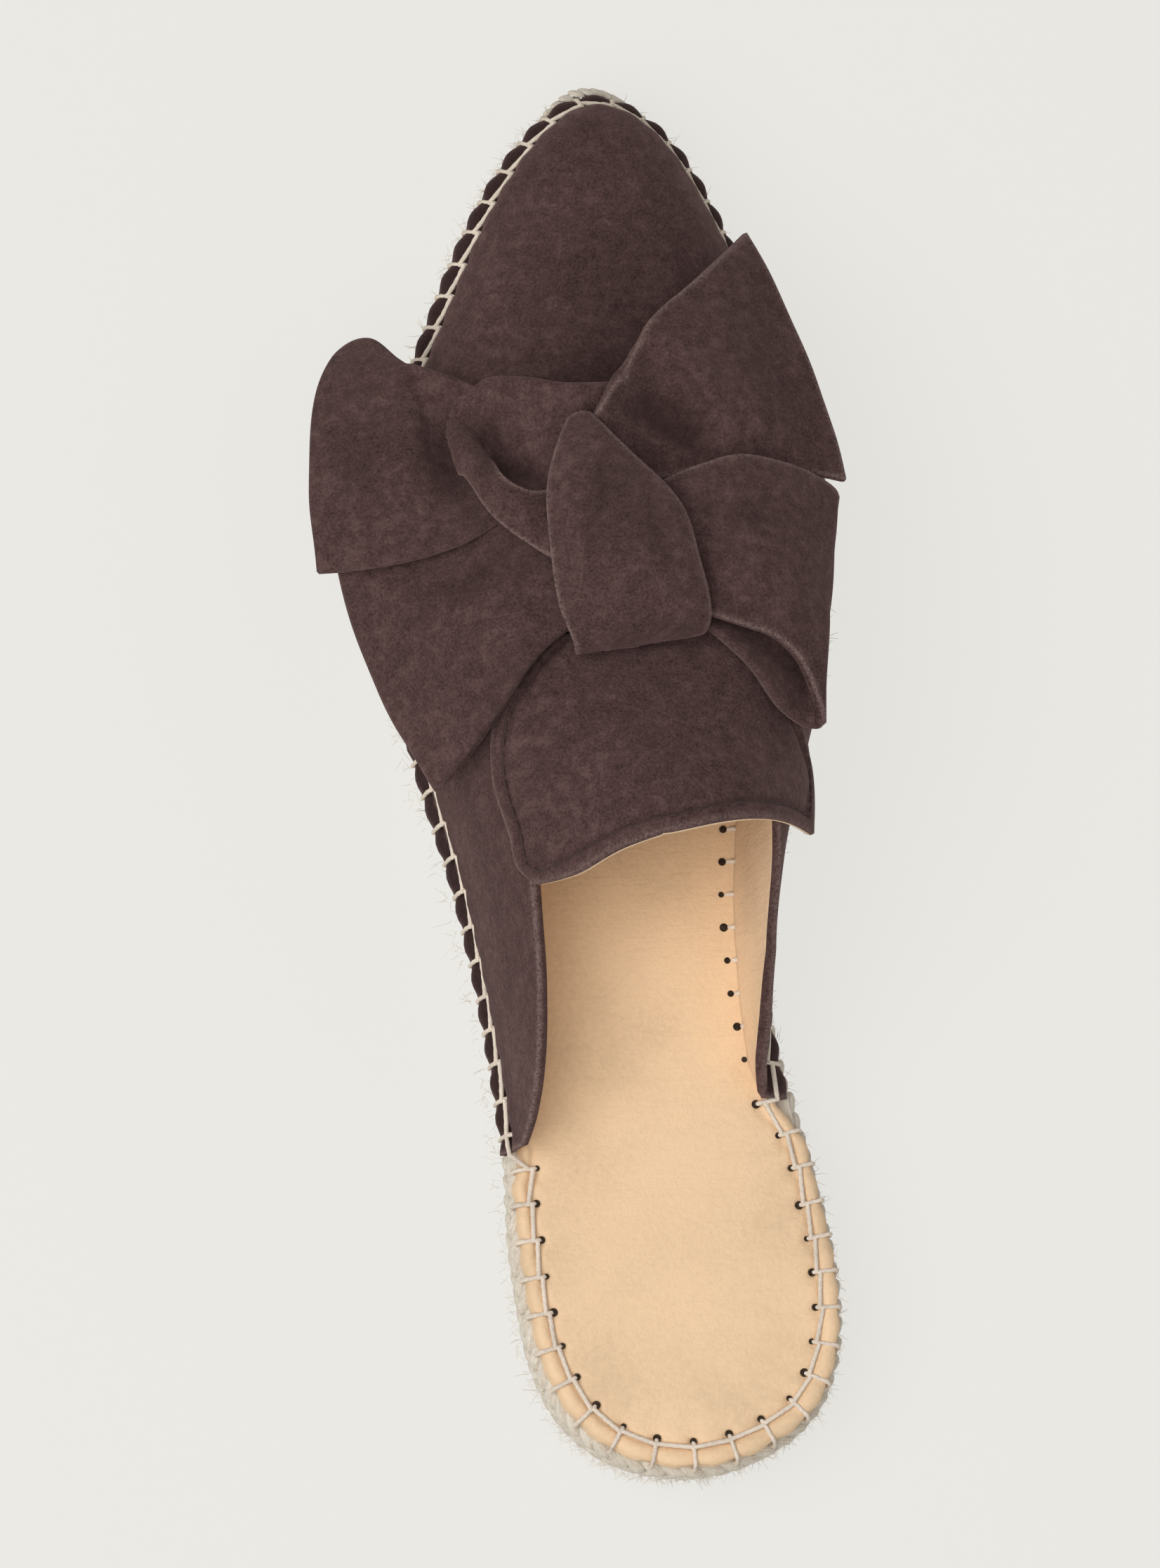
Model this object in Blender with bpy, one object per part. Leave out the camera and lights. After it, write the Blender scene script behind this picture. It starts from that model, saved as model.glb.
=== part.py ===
"""A pointed espadrille mule (babouche) in suede for the left foot, with a knotted bow on the vamp.

Sizes are in millimetres and angles in radians until a mesh is made. In plan, x runs from the lateral to the
medial side and y from the heel end to the toe tip. Heights are above the floor. The whole shoe hangs on one
empty, which puts the middle of its footprint on the world origin.
"""

import math

import bmesh
import bpy
import numpy as np

METRES_PER_MM = 0.001


def table(columns, *rows):
    """Named columns, one row for each section."""
    return dict(zip(columns.split(), np.array(rows, float).T))


# Driving sizes of the last and the sole
LENGTH = 258.0
HEEL_FLAT = (6.0, 72.0)
BALL_FLAT = (138.0, 202.0)
ARCH_LIFT = 1.4
TOE_SPRING = 6.0
HEEL_END_LIFT = 1.2
ROPE_COURSES = 3
ROPE_GROOVE = 1.1
SIDE_TAPER = 2.8

# Thicknesses, insets and clearances
MEETING_GAP = 0.3
UPPER_WALL = 1.8
FEATHER_INSET = 1.3
FEATHER_FLUSH = 1.1
FLUSH_STATIONS = (45.0, 60.0, 185.0, 215.0)
INSOLE_THICKNESS = 2.4
INSOLE_HEEL_INSET = 1.4
INSOLE_BACK_INSET = 1.0
INSOLE_SIDE_INSET = 0.35
INSOLE_CLEARANCE = 1.2
INSOLE_STEP = {"lateral": (42.0, 55.0), "medial": (50.0, 64.0)}
TONGUE_THICKNESS = 1.7
TONGUE_GAP = 0.45
TONGUE_FRONT = 150.0
TONGUE_FLARE = 3.2
FLARE_ALONG = 0.4
FLARE_ACROSS = 0.3
THROAT = 121.0
RIBBON_THICKNESS = 1.8
SHOULDER = 0.6

# Mesh fineness
OUTLINE_STEPS = 88
RINGS_PER_COURSE = 4
WALL_ROWS = 11
VAMP_ROWS = 20
WALL_COLUMNS = 6
VAMP_COLUMNS = 16
TONGUE_GRID = (11, 18)
RIBBON_ACROSS = 8

# The sole's edge in plan, as the rope shows from above
SOLE_EDGE = table(
    "station lateral medial",
    (3, -11.5, 15.5),
    (10, -20.3, 25.6),
    (22, -26.2, 31.0),
    (36, -28.4, 31.6),
    (56, -29.8, 28.4),
    (76, -31.4, 24.3),
    (93, -33.6, 22.2),
    (110, -36.6, 24.6),
    (130, -41.4, 30.6),
    (152, -45.2, 36.8),
    (174, -45.9, 39.4),
    (192, -43.0, 38.6),
    (207, -38.5, 34.6),
    (221, -32.6, 27.8),
    (234, -26.4, 22.2),
    (246, -18.8, 16.0),
    (253, -12.4, 10.0),
)
HEEL_CENTRE = 2.0
TOE_CENTRE = -1.8

# Rope thickness along the sole
SOLE_DEPTH = table(
    "station depth",
    (0, 20.0),
    (60, 19.5),
    (110, 17.5),
    (165, 15.0),
    (215, 13.0),
    (258, 10.0),
)

# Sections of the last over the sole: crown place, crown rise and how full each side is
CROWN = table(
    "station crown_x crown_rise lateral_full medial_full",
    (40, -1.0, 64.0, 1.65, 1.0),
    (80, -3.0, 60.0, 1.65, 1.5),
    (92, -4.0, 58.0, 1.7, 2.15),
    (105, -5.0, 55.5, 1.8, 2.6),
    (125, -5.0, 50.5, 2.0, 2.6),
    (150, -3.5, 43.0, 2.1, 2.4),
    (175, -2.0, 35.5, 2.2, 2.3),
    (200, -1.0, 28.5, 2.2, 2.2),
    (225, -1.0, 22.8, 2.1, 2.1),
    (242, -1.5, 18.6, 2.0, 2.0),
    (252, -1.8, 13.4, 2.0, 2.0),
    (256.5, -1.8, 7.6, 2.0, 2.0),
    (258, -1.8, 0.0, 2.0, 2.0),
)

# Height of the two quarters above the sole, from their rear ends to the throat
LATERAL_TOPLINE = table(
    "station rise",
    (60, 9.0),
    (63, 14.0),
    (68, 20.5),
    (75, 26.0),
    (86, 31.0),
    (98, 34.0),
    (110, 37.0),
    (121, 40.0),
)
MEDIAL_TOPLINE = table(
    "station rise",
    (69, 6.0),
    (73, 10.0),
    (80, 15.0),
    (88, 20.0),
    (96, 26.0),
    (105, 32.0),
    (113, 36.5),
    (121, 40.0),
)

# The tongue's side edges in plan, and how far its back edge lies from the heel end
TONGUE_SIDES = table(
    "station lateral medial",
    (104, -24.5, 19.5),
    (107, -26.8, 20.2),
    (114, -28.5, 22.0),
    (126, -31.0, 25.0),
    (136, -30.0, 22.0),
    (150, -21.0, 14.0),
)
TONGUE_BACK = table(
    "across station",
    (0.0, 104.5),
    (0.12, 104.8),
    (0.35, 109.0),
    (0.62, 112.8),
    (0.85, 113.6),
    (1.0, 112.2),
)


# The bow's bands. Each row is one crosswise section: plan place and height over the vamp of the band's
# toeward edge, middle and heelward edge. Loops run out from the knot, round their fold and back below.
BAND_COLUMNS = "toe_x toe_y toe_lift mid_x mid_y mid_lift heel_x heel_y heel_lift"
LOOP_LEFT = table(
    BAND_COLUMNS,
    (-7.5, 171.0, 5.6, -7.5, 162.0, 6.4, -7.5, 153.0, 7.2),
    (-24.0, 171.5, 6.6, -24.0, 159.0, 8.0, -22.0, 148.0, 7.8),
    (-38.0, 170.5, 7.6, -36.0, 153.0, 9.0, -31.0, 137.5, 8.2),
    (-50.0, 168.5, 7.4, -46.5, 148.0, 8.2, -38.5, 128.0, 7.2),
    (-55.8, 167.0, 5.6, -51.0, 146.0, 5.8, -41.6, 124.0, 5.6),
    (-52.5, 166.0, 2.9, -48.5, 146.5, 3.2, -39.5, 126.0, 3.9),
    (-40.0, 167.0, 1.9, -37.0, 152.0, 2.6, -31.0, 137.0, 5.0),
    (-26.0, 168.5, 1.9, -25.0, 158.0, 2.6, -22.0, 149.0, 4.8),
    (-7.5, 169.5, 1.9, -7.5, 162.0, 2.4, -7.5, 154.0, 4.4),
)
LOOP_RIGHT = table(
    BAND_COLUMNS,
    (-5.5, 174.0, 7.0, -5.5, 164.0, 7.6, -5.5, 153.5, 7.8),
    (8.0, 180.0, 10.2, 10.0, 165.0, 11.0, 11.0, 150.0, 9.2),
    (18.0, 182.0, 10.6, 21.0, 164.0, 12.0, 20.5, 146.5, 9.6),
    (28.5, 179.0, 10.0, 29.0, 160.0, 11.0, 26.5, 141.0, 9.2),
    (34.3, 174.8, 8.0, 32.5, 153.5, 8.0, 29.0, 131.5, 7.4),
    (31.5, 173.6, 4.6, 30.0, 153.5, 4.6, 26.8, 131.6, 4.8),
    (22.0, 173.0, 2.2, 22.0, 156.0, 3.4, 20.3, 134.5, 5.4),
    (12.0, 172.5, 1.9, 13.0, 160.0, 2.8, 12.0, 143.0, 5.0),
    (-5.0, 171.5, 1.9, -5.0, 163.0, 2.4, -5.0, 152.0, 4.6),
)
TAIL_LEFT = table(
    BAND_COLUMNS,
    (-17.0, 188.0, 1.7, -17.0, 182.0, 1.7, -17.0, 176.0, 1.7),
    (-30.0, 199.0, 6.0, -28.0, 186.0, 4.4, -26.5, 173.5, 8.5),
    (-39.5, 204.0, 8.0, -38.5, 186.0, 6.0, -37.0, 168.0, 12.2),
    (-45.5, 208.0, 6.4, -48.0, 187.0, 12.0, -49.0, 166.0, 14.0),
    (-49.0, 209.5, 3.0, -59.0, 189.0, 9.0, -61.0, 165.5, 12.6),
)
TAIL_RIGHT = table(
    BAND_COLUMNS,
    (-7.0, 192.0, 8.8, -5.0, 186.0, 7.8, -3.0, 179.0, 5.6),
    (0.0, 200.5, 10.5, 5.0, 191.0, 7.5, 9.0, 181.0, 5.0),
    (5.0, 209.5, 10.0, 13.0, 196.0, 10.6, 18.0, 182.5, 4.8),
    (14.0, 217.5, 9.0, 22.5, 199.5, 9.6, 27.5, 181.0, 6.4),
    (22.6, 227.4, 8.6, 31.6, 203.6, 8.6, 37.0, 179.5, 7.0),
)
KNOT_WRAP = table(
    BAND_COLUMNS,
    (-0.8, 198.6, 5.0, -3.0, 194.6, 4.2, -6.1, 190.4, 3.6),
    (-8.5, 196.8, 11.0, -10.0, 191.8, 8.0, -11.0, 185.2, 6.6),
    (-16.6, 196.9, 13.5, -17.0, 188.1, 8.8, -16.5, 176.6, 6.8),
    (-24.2, 198.6, 14.5, -24.0, 187.5, 9.6, -22.8, 174.8, 10.2),
    (-30.4, 198.3, 14.5, -31.0, 188.3, 11.4, -29.0, 176.0, 12.2),
    (-34.9, 194.0, 14.5, -36.0, 189.4, 13.2, -34.3, 181.6, 12.4),
    (-31.7, 188.8, 17.0, -33.7, 184.6, 16.6, -33.5, 178.9, 14.8),
    (-28.4, 178.8, 17.0, -29.6, 175.1, 16.8, -29.9, 172.0, 14.2),
    (-24.3, 176.0, 14.6, -25.0, 171.6, 14.6, -25.7, 167.6, 12.4),
    (-19.8, 176.1, 11.6, -20.4, 169.8, 11.9, -20.9, 163.5, 11.0),
    (-15.0, 175.9, 10.2, -15.8, 168.9, 10.6, -16.5, 161.3, 10.0),
)
KNOT_TAB = table(
    BAND_COLUMNS,
    (-11.9, 190.1, 12.4, -13.5, 190.4, 12.8, -15.1, 189.3, 12.4),
    (-5.6, 182.0, 14.8, -13.1, 180.4, 17.4, -18.7, 182.3, 14.6),
    (2.2, 171.5, 15.8, -10.6, 169.5, 19.6, -21.0, 173.5, 15.0),
    (4.4, 161.5, 15.2, -9.6, 158.9, 18.8, -21.1, 163.7, 14.6),
    (5.5, 151.7, 13.2, -8.0, 150.0, 14.8, -20.4, 152.7, 13.2),
    (6.0, 147.8, 10.2, -6.4, 146.9, 10.4, -18.4, 146.9, 10.2),
    (5.4, 146.6, 5.6, -6.6, 145.9, 5.8, -17.8, 146.2, 5.6),
)
BOW = {
    "bow_loop_left": (LOOP_LEFT, 24),
    "bow_loop_right": (LOOP_RIGHT, 24),
    "bow_tail_left": (TAIL_LEFT, 14),
    "bow_tail_right": (TAIL_RIGHT, 14),
    "bow_knot_wrap": (KNOT_WRAP, 26),
    "bow_knot_tab": (KNOT_TAB, 16),
}


def through(keys, values, period=None):
    """A smooth function through the given points, made of cubic pieces."""
    keys, values = np.asarray(keys, float), np.asarray(values, float)
    if period:
        keys = np.concatenate([keys - period, keys, keys + period])
        values = np.tile(values, 3)
    steps = np.diff(keys)
    slopes = np.diff(values) / steps
    inner = (slopes[:-1] * steps[1:] + slopes[1:] * steps[:-1]) / (steps[:-1] + steps[1:])
    first, last = 2 * slopes[0] - inner[0], 2 * slopes[-1] - inner[-1]
    tangents = np.concatenate([[first], inner, [last]])

    def at(key):
        key = np.clip(key, keys[0], keys[-1])
        i = np.clip(np.searchsorted(keys, key, side="right") - 1, 0, len(steps) - 1)
        t = (key - keys[i]) / steps[i]
        start, end = values[i], values[i + 1]
        out, back = tangents[i] * steps[i], tangents[i + 1] * steps[i]
        bend = 2 * (start - end) + out + back
        return start + t * (out + t * (3 * (end - start) - 2 * out - back + t * bend))

    return at


def turn_of(station):
    """The turn, from 0 at the heel end to pi at the toe tip, that reaches a station of the sole."""
    return np.arccos(np.clip(1 - 2 * np.asarray(station, float) / LENGTH, -1, 1))


def sole_edge_x():
    """x of the sole's edge over a whole turn: heel end, lateral side, toe tip, medial side."""
    turns = turn_of(SOLE_EDGE["station"])
    keys = np.concatenate([[0], turns, [math.pi], 2 * math.pi - turns[::-1]])
    xs = np.concatenate(
        [[HEEL_CENTRE], SOLE_EDGE["lateral"], [TOE_CENTRE], SOLE_EDGE["medial"][::-1]]
    )
    return through(keys, xs, period=2 * math.pi)


edge_x = sole_edge_x()
sole_depth = through(SOLE_DEPTH["station"], SOLE_DEPTH["depth"])
crown = {name: through(turn_of(CROWN["station"]), CROWN[name]) for name in CROWN}


def outline(turn, inset=0.0):
    """Plan points of the sole's edge at the given turns, moved inwards by inset."""
    turn = np.asarray(turn, float)
    small = 1e-3

    def at(t):
        return np.stack([edge_x(t % (2 * math.pi)), LENGTH * (1 - np.cos(t)) / 2], -1)

    along = at(turn + small) - at(turn - small)
    along /= np.linalg.norm(along, axis=-1, keepdims=True)
    inwards = np.stack([along[..., 1], -along[..., 0]], -1)
    return at(turn) + inwards * np.asarray(inset, float)[..., None]


def floor_gap(y):
    """Height of the sole's underside: flat under heel and ball, arched between, sprung at the toe."""
    heel_from, heel_to = HEEL_FLAT
    ball_from, ball_to = BALL_FLAT
    arch = np.clip((y - heel_to) / (ball_from - heel_to), 0, 1)
    toe = np.clip((y - ball_to) / (LENGTH - ball_to), 0, 1)
    heel = np.clip((heel_from - y) / heel_from, 0, 1)
    return ARCH_LIFT * np.sin(math.pi * arch) ** 2 + TOE_SPRING * toe**2 + HEEL_END_LIFT * heel**2


def sole_top(y):
    return floor_gap(y) + sole_depth(y)


def feather_inset(turn):
    """How far inside the sole's edge the upper sits: nearly flush along the lateral side."""
    flush_from, flush_full, flush_to, flush_end = FLUSH_STATIONS
    station = LENGTH * (1 - np.cos(turn)) / 2
    begin = np.clip((station - flush_from) / (flush_full - flush_from), 0, 1)
    end = np.clip((flush_end - station) / (flush_end - flush_to), 0, 1)
    return FEATHER_INSET - FEATHER_FLUSH * begin * end * (np.sin(turn) > 0)


def upper_point(turn, around):
    """A point of the upper's outer face. around runs from -1, lateral seat, over 0, crown, to 1, medial seat."""
    turn, around = np.broadcast_arrays(np.asarray(turn, float), np.asarray(around, float))
    medial = around > 0
    edge_turn = np.where(medial, 2 * math.pi - turn, turn)
    edge = outline(edge_turn, feather_inset(edge_turn))
    full = np.where(medial, crown["medial_full"](turn), crown["lateral_full"](turn))
    angle = (1 - np.abs(around)) * math.pi / 2
    spread = np.clip(np.cos(angle), 0, 1) ** (2 / full)
    rise = np.clip(np.sin(angle), 0, 1) ** (2 / full)
    crown_y = (LENGTH - FEATHER_INSET) * (1 - np.cos(turn)) / 2
    crown_x = crown["crown_x"](turn)
    seat = sole_top(edge[..., 1]) + MEETING_GAP
    top = sole_top(crown_y) + MEETING_GAP + crown["crown_rise"](turn)
    return np.stack(
        [
            crown_x + (edge[..., 0] - crown_x) * spread,
            crown_y + (edge[..., 1] - crown_y) * spread,
            seat + (top - seat) * rise,
        ],
        -1,
    )


def upper_offset(turn, around, distance):
    """A point of the upper's form moved outwards by distance."""
    small = 1e-3
    turn, around = np.broadcast_arrays(np.asarray(turn, float), np.asarray(around, float))
    near = np.clip(turn, small, math.pi - 20 * small)
    inside = np.clip(around, small - 1, 1 - small)
    along = upper_point(near + small, inside) - upper_point(near - small, inside)
    across = upper_point(near, inside + small) - upper_point(near, inside - small)
    normal = np.cross(across, along)
    normal /= np.linalg.norm(normal, axis=-1, keepdims=True)
    return upper_point(turn, around) + normal * np.asarray(distance, float)[..., None]


def around_of_rise(turn, rise, side):
    """Where the section reaches a height above its seat."""
    full = crown[f"{side}_full"](turn)
    angle = np.arcsin(np.clip(rise / crown["crown_rise"](turn), 0, 1) ** (full / 2))
    return (1 if side == "medial" else -1) * (1 - angle / (math.pi / 2))


def around_of_x(turn, x):
    """Where the section reaches a plan x."""
    medial = x > crown["crown_x"](turn)
    edge_turn = np.where(medial, 2 * math.pi - turn, turn)
    edge = outline(edge_turn, feather_inset(edge_turn))
    full = np.where(medial, crown["medial_full"](turn), crown["lateral_full"](turn))
    middle = crown["crown_x"](turn)
    spread = np.clip((x - middle) / (edge[..., 0] - middle), 0, 1)
    angle = np.arccos(spread ** (full / 2))
    return np.where(medial, 1, -1) * (1 - angle / (math.pi / 2))


def make_object(name, points, faces, material):
    """One closed mesh object on the shoe's empty, from points in millimetres."""
    mesh = bpy.data.meshes.new(name)
    mesh.from_pydata((np.asarray(points) * METRES_PER_MM).tolist(), [], faces)
    work = bmesh.new()
    work.from_mesh(mesh)
    bmesh.ops.remove_doubles(work, verts=work.verts, dist=1e-6)
    loose = [vert for vert in work.verts if not vert.link_faces]
    bmesh.ops.delete(work, geom=loose, context="VERTS")
    bmesh.ops.recalc_face_normals(work, faces=work.faces)
    work.to_mesh(mesh)
    work.free()
    mesh.shade_smooth()
    mesh.set_sharp_from_angle(angle=math.radians(50))
    mesh.materials.append(material)
    thing = bpy.data.objects.new(name, mesh)
    thing.parent = shoe
    bpy.context.scene.collection.objects.link(thing)
    return thing


def shell(name, outer, inner, material, keep=None, pole=False):
    """A wall between two grids of points. keep picks the cells; pole leaves the last row without a rim."""
    rows, columns = outer.shape[:2]
    keep = np.ones((rows - 1, columns - 1), bool) if keep is None else keep
    count = rows * columns

    def cell(i, j):
        return 0 <= i < rows - 1 and 0 <= j < columns - 1 and keep[i, j]

    faces = []
    for i, j in zip(*np.nonzero(keep)):
        a, b = i * columns + j, i * columns + j + 1
        d, c = a + columns, b + columns
        faces.append((a, b, c, d))
        faces.append((d + count, c + count, b + count, a + count))
        sides = (((i - 1, j), (b, a)), ((i, j + 1), (c, b)), ((i + 1, j), (d, c)), ((i, j - 1), (a, d)))
        for neighbour, (start, end) in sides:
            at_pole = pole and neighbour[0] == rows - 1
            if not cell(*neighbour) and not at_pole:
                faces.append((start, end, end + count, start + count))
    points = np.concatenate([outer.reshape(-1, 3), inner.reshape(-1, 3)])
    return make_object(name, points, [tuple(map(int, face)) for face in faces], material)


def stack(name, rings, material):
    """A solid through closed rings of equal length, capped below and above across the shoe's width."""
    count = rings.shape[1]
    half = count // 2
    faces = []
    for level in range(len(rings) - 1):
        for i in range(count):
            a, b = level * count + i, level * count + (i + 1) % count
            faces.append((a, b, b + count, a + count))
    top = (len(rings) - 1) * count
    for i in range(half):
        lateral, medial = (i, i + 1), ((count - i - 1) % count, (count - i) % count)
        faces.append((lateral[1], lateral[0], medial[1], medial[0]))
        faces.append((top + lateral[0], top + lateral[1], top + medial[0], top + medial[1]))
    return make_object(name, rings.reshape(-1, 3), [tidy_face(face) for face in faces], material)


def tidy_face(face):
    """The face without a corner that comes twice, as where a cap ends at the heel or the toe."""
    return tuple(dict.fromkeys(face))


def rope_sole(material):
    """The jute sole: courses of rope round the edge, drawn in towards the underside."""
    turns = np.linspace(0, 2 * math.pi, OUTLINE_STEPS, endpoint=False)
    levels = np.linspace(0, 1, ROPE_COURSES * RINGS_PER_COURSE + 1)
    widest = 1 - 0.5 / ROPE_COURSES
    rings = []
    for level in levels:
        groove = ROPE_GROOVE * (1 - abs(math.sin(math.pi * ROPE_COURSES * level)))
        taper = SIDE_TAPER * max(0, 1 - level / widest)
        plan = outline(turns, np.full(turns.shape, groove + taper))
        y = plan[:, 1]
        height = floor_gap(y) + level * (sole_top(y) - floor_gap(y))
        rings.append(np.column_stack([plan, height]))
    return stack("rope_sole", np.array(rings), material)


def insole_inset(turn):
    """How far inside the sole's edge the insole ends: a rim of rope at the heel, clear of the upper further on."""
    station = LENGTH * (1 - np.cos(turn)) / 2
    lateral = (np.sin(turn) > 0)[..., None]
    step = np.where(lateral, INSOLE_STEP["lateral"], INSOLE_STEP["medial"])
    forward = np.clip((station - step[..., 0]) / (step[..., 1] - step[..., 0]), 0, 1)
    back = INSOLE_BACK_INSET * np.maximum(np.cos(turn), 0) ** 6
    heel = INSOLE_HEEL_INSET + back + INSOLE_SIDE_INSET * np.sin(turn)
    fore = feather_inset(turn) + UPPER_WALL + INSOLE_CLEARANCE
    return heel + (fore - heel) * forward


def insole(material):
    """The leather sock: out to the rope at the heel, inside the upper further forward."""
    turns = np.linspace(0, 2 * math.pi, OUTLINE_STEPS, endpoint=False)
    inset = insole_inset(turns)
    rings = []
    bevel = INSOLE_THICKNESS / 3
    for lift, drawn_in in ((0, 0), (INSOLE_THICKNESS - bevel, 0), (INSOLE_THICKNESS, bevel)):
        plan = outline(turns, inset + drawn_in)
        rings.append(np.column_stack([plan, sole_top(plan[:, 1]) + MEETING_GAP + lift]))
    return stack("insole", np.array(rings), material)


def upper(material):
    """Toe, vamp and quarters as one hollow wall, open below, behind and at the throat."""
    throat_turn = turn_of(THROAT)
    columns = 2 * WALL_COLUMNS + VAMP_COLUMNS
    wall = np.linspace(0, 1, WALL_ROWS + 1)[:, None]
    fore = np.linspace(throat_turn, math.pi, VAMP_ROWS + 1)[1:, None]
    sides = {}
    for side, topline in (("lateral", LATERAL_TOPLINE), ("medial", MEDIAL_TOPLINE)):
        rear_turn = turn_of(topline["station"][0])
        turns = np.concatenate([rear_turn + (throat_turn - rear_turn) * wall**1.5, fore])
        rise = through(turn_of(topline["station"]), topline["rise"])(np.minimum(turns, throat_turn))
        tops = around_of_rise(np.minimum(turns, throat_turn), rise, side)
        sides[side] = turns, tops
    (lateral_turn, lateral_top), (medial_turn, medial_top) = sides["lateral"], sides["medial"]
    up = np.linspace(0, 1, WALL_COLUMNS + 1)[None, :]
    over = np.linspace(0, 1, VAMP_COLUMNS + 1)[None, 1:-1]
    around = np.concatenate(
        [
            -1 + (lateral_top + 1) * up,
            lateral_top + (medial_top - lateral_top) * over,
            medial_top + (1 - medial_top) * up,
        ],
        axis=1,
    )
    turn = np.where(np.arange(columns + 1)[None, :] <= columns // 2, lateral_turn, medial_turn)
    keep = np.ones((len(turn) - 1, columns), bool)
    keep[:WALL_ROWS, WALL_COLUMNS:-WALL_COLUMNS] = False
    outer = upper_point(turn, around)
    inner = upper_offset(turn, around, -UPPER_WALL)
    inner[..., 2] = np.maximum(inner[..., 2], sole_top(inner[..., 1]) + MEETING_GAP)
    inner[-1] = inner[-1].mean(axis=0)
    return shell("upper", outer, inner, material, keep, pole=True)


def tongue_flare(forward, across):
    """How far the tongue's medial back corner stands off the quarter."""
    from_back = np.clip(1 - forward / FLARE_ALONG, 0, 1)
    from_side = np.clip(1 - (1 - across) / FLARE_ACROSS, 0, 1)
    return TONGUE_FLARE * from_back * from_side**2


def tongue(material):
    """The stitched tab that covers the throat and shades the opening."""
    rows, columns = TONGUE_GRID
    across = np.linspace(0, 1, columns)[None, :]
    back = through(TONGUE_BACK["across"], TONGUE_BACK["station"])(across)
    forward = np.linspace(0, 1, rows)[:, None]
    station = back + (TONGUE_FRONT - back) * forward
    turn = turn_of(station)
    lateral = through(TONGUE_SIDES["station"], TONGUE_SIDES["lateral"])(station)
    medial = through(TONGUE_SIDES["station"], TONGUE_SIDES["medial"])(station)
    start, end = around_of_x(turn, lateral), around_of_x(turn, medial)
    around = start + (end - start) * across
    under = TONGUE_GAP + tongue_flare(forward, across)
    outer = upper_offset(turn, around, under + TONGUE_THICKNESS)
    inner = upper_offset(turn, around, under)
    return shell("tongue", outer, inner, material)


def drape(x, y):
    """Height of a cloth laid over the vamp: its section near the crown, then straight on beyond SHOULDER."""
    turn = turn_of(y)
    middle = crown["crown_x"](turn)
    medial = x > middle
    edge_turn = np.where(medial, 2 * math.pi - turn, turn)
    edge = outline(edge_turn, feather_inset(edge_turn))
    full = np.where(medial, crown["medial_full"](turn), crown["lateral_full"](turn))
    spread = np.abs((x - middle) / (edge[..., 0] - middle))
    near = np.minimum(spread, SHOULDER)
    rise = (1 - near**full) ** (1 / full)
    slope = near ** (full - 1) * (1 - near**full) ** (1 / full - 1)
    rise = rise - slope * (spread - near)
    return sole_top(y) + MEETING_GAP + crown["crown_rise"](turn) * rise


def ribbon(name, rows, along, material):
    """A band of even thickness through its crosswise sections."""
    middle = np.column_stack([rows["mid_x"], rows["mid_y"], rows["mid_lift"]])
    keys = np.concatenate([[0], np.cumsum(np.linalg.norm(np.diff(middle, axis=0), axis=1))])
    at = np.linspace(0, keys[-1], along)
    toe, mid, heel = (
        np.stack([through(keys, rows[f"{place}_{axis}"])(at) for axis in ("x", "y", "lift")], -1)
        for place in ("toe", "mid", "heel")
    )
    w = np.linspace(0, 1, RIBBON_ACROSS)[None, :, None]
    toe, mid, heel = toe[:, None], mid[:, None], heel[:, None]
    sheet = toe * (1 - w) * (1 - 2 * w) + mid * 4 * w * (1 - w) + heel * w * (2 * w - 1)
    sheet[..., 2] += drape(sheet[..., 0], sheet[..., 1])
    normal = np.cross(np.gradient(sheet, axis=0), np.gradient(sheet, axis=1))
    normal /= np.linalg.norm(normal, axis=-1, keepdims=True)
    half = normal * RIBBON_THICKNESS / 2
    return shell(name, sheet + half, sheet - half, material)


def finish(name, colour, roughness):
    """A plain material of the piece's own colour."""
    material = bpy.data.materials.new(name)
    material.use_nodes = True
    shader = material.node_tree.nodes["Principled BSDF"]
    shader.inputs["Base Color"].default_value = (*colour, 1)
    shader.inputs["Roughness"].default_value = roughness
    shader.inputs["Metallic"].default_value = 0
    return material


def centre_on_floor(things):
    """Moves the shoe so that the middle of its footprint box is the world origin."""
    corners = np.array([vert.co for thing in things for vert in thing.data.vertices])
    low, high = corners.min(axis=0), corners.max(axis=0)
    shoe.location = (-(low[0] + high[0]) / 2, -(low[1] + high[1]) / 2, -low[2])


for old in list(bpy.data.objects):
    bpy.data.objects.remove(old)
shoe = bpy.data.objects.new("shoe", None)
bpy.context.scene.collection.objects.link(shoe)

jute = finish("jute_rope", (0.56, 0.47, 0.35), 0.95)
leather = finish("pale_leather", (0.78, 0.56, 0.34), 0.6)
suede = finish("brown_suede", (0.075, 0.050, 0.045), 0.95)

pieces = [rope_sole(jute), insole(leather), upper(suede), tongue(suede)]
for band, (sections, along) in BOW.items():
    pieces.append(ribbon(band, sections, along, suede))
centre_on_floor(pieces)
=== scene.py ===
"""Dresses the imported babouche: suede upper, tongue and bow, leather insole, plaited jute sole and stitching.

Shapes are worked out in the shoe's own millimetres: x from the lateral to the medial side, y from the heel
end to the toe tip, z above the floor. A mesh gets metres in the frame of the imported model.
"""

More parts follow.
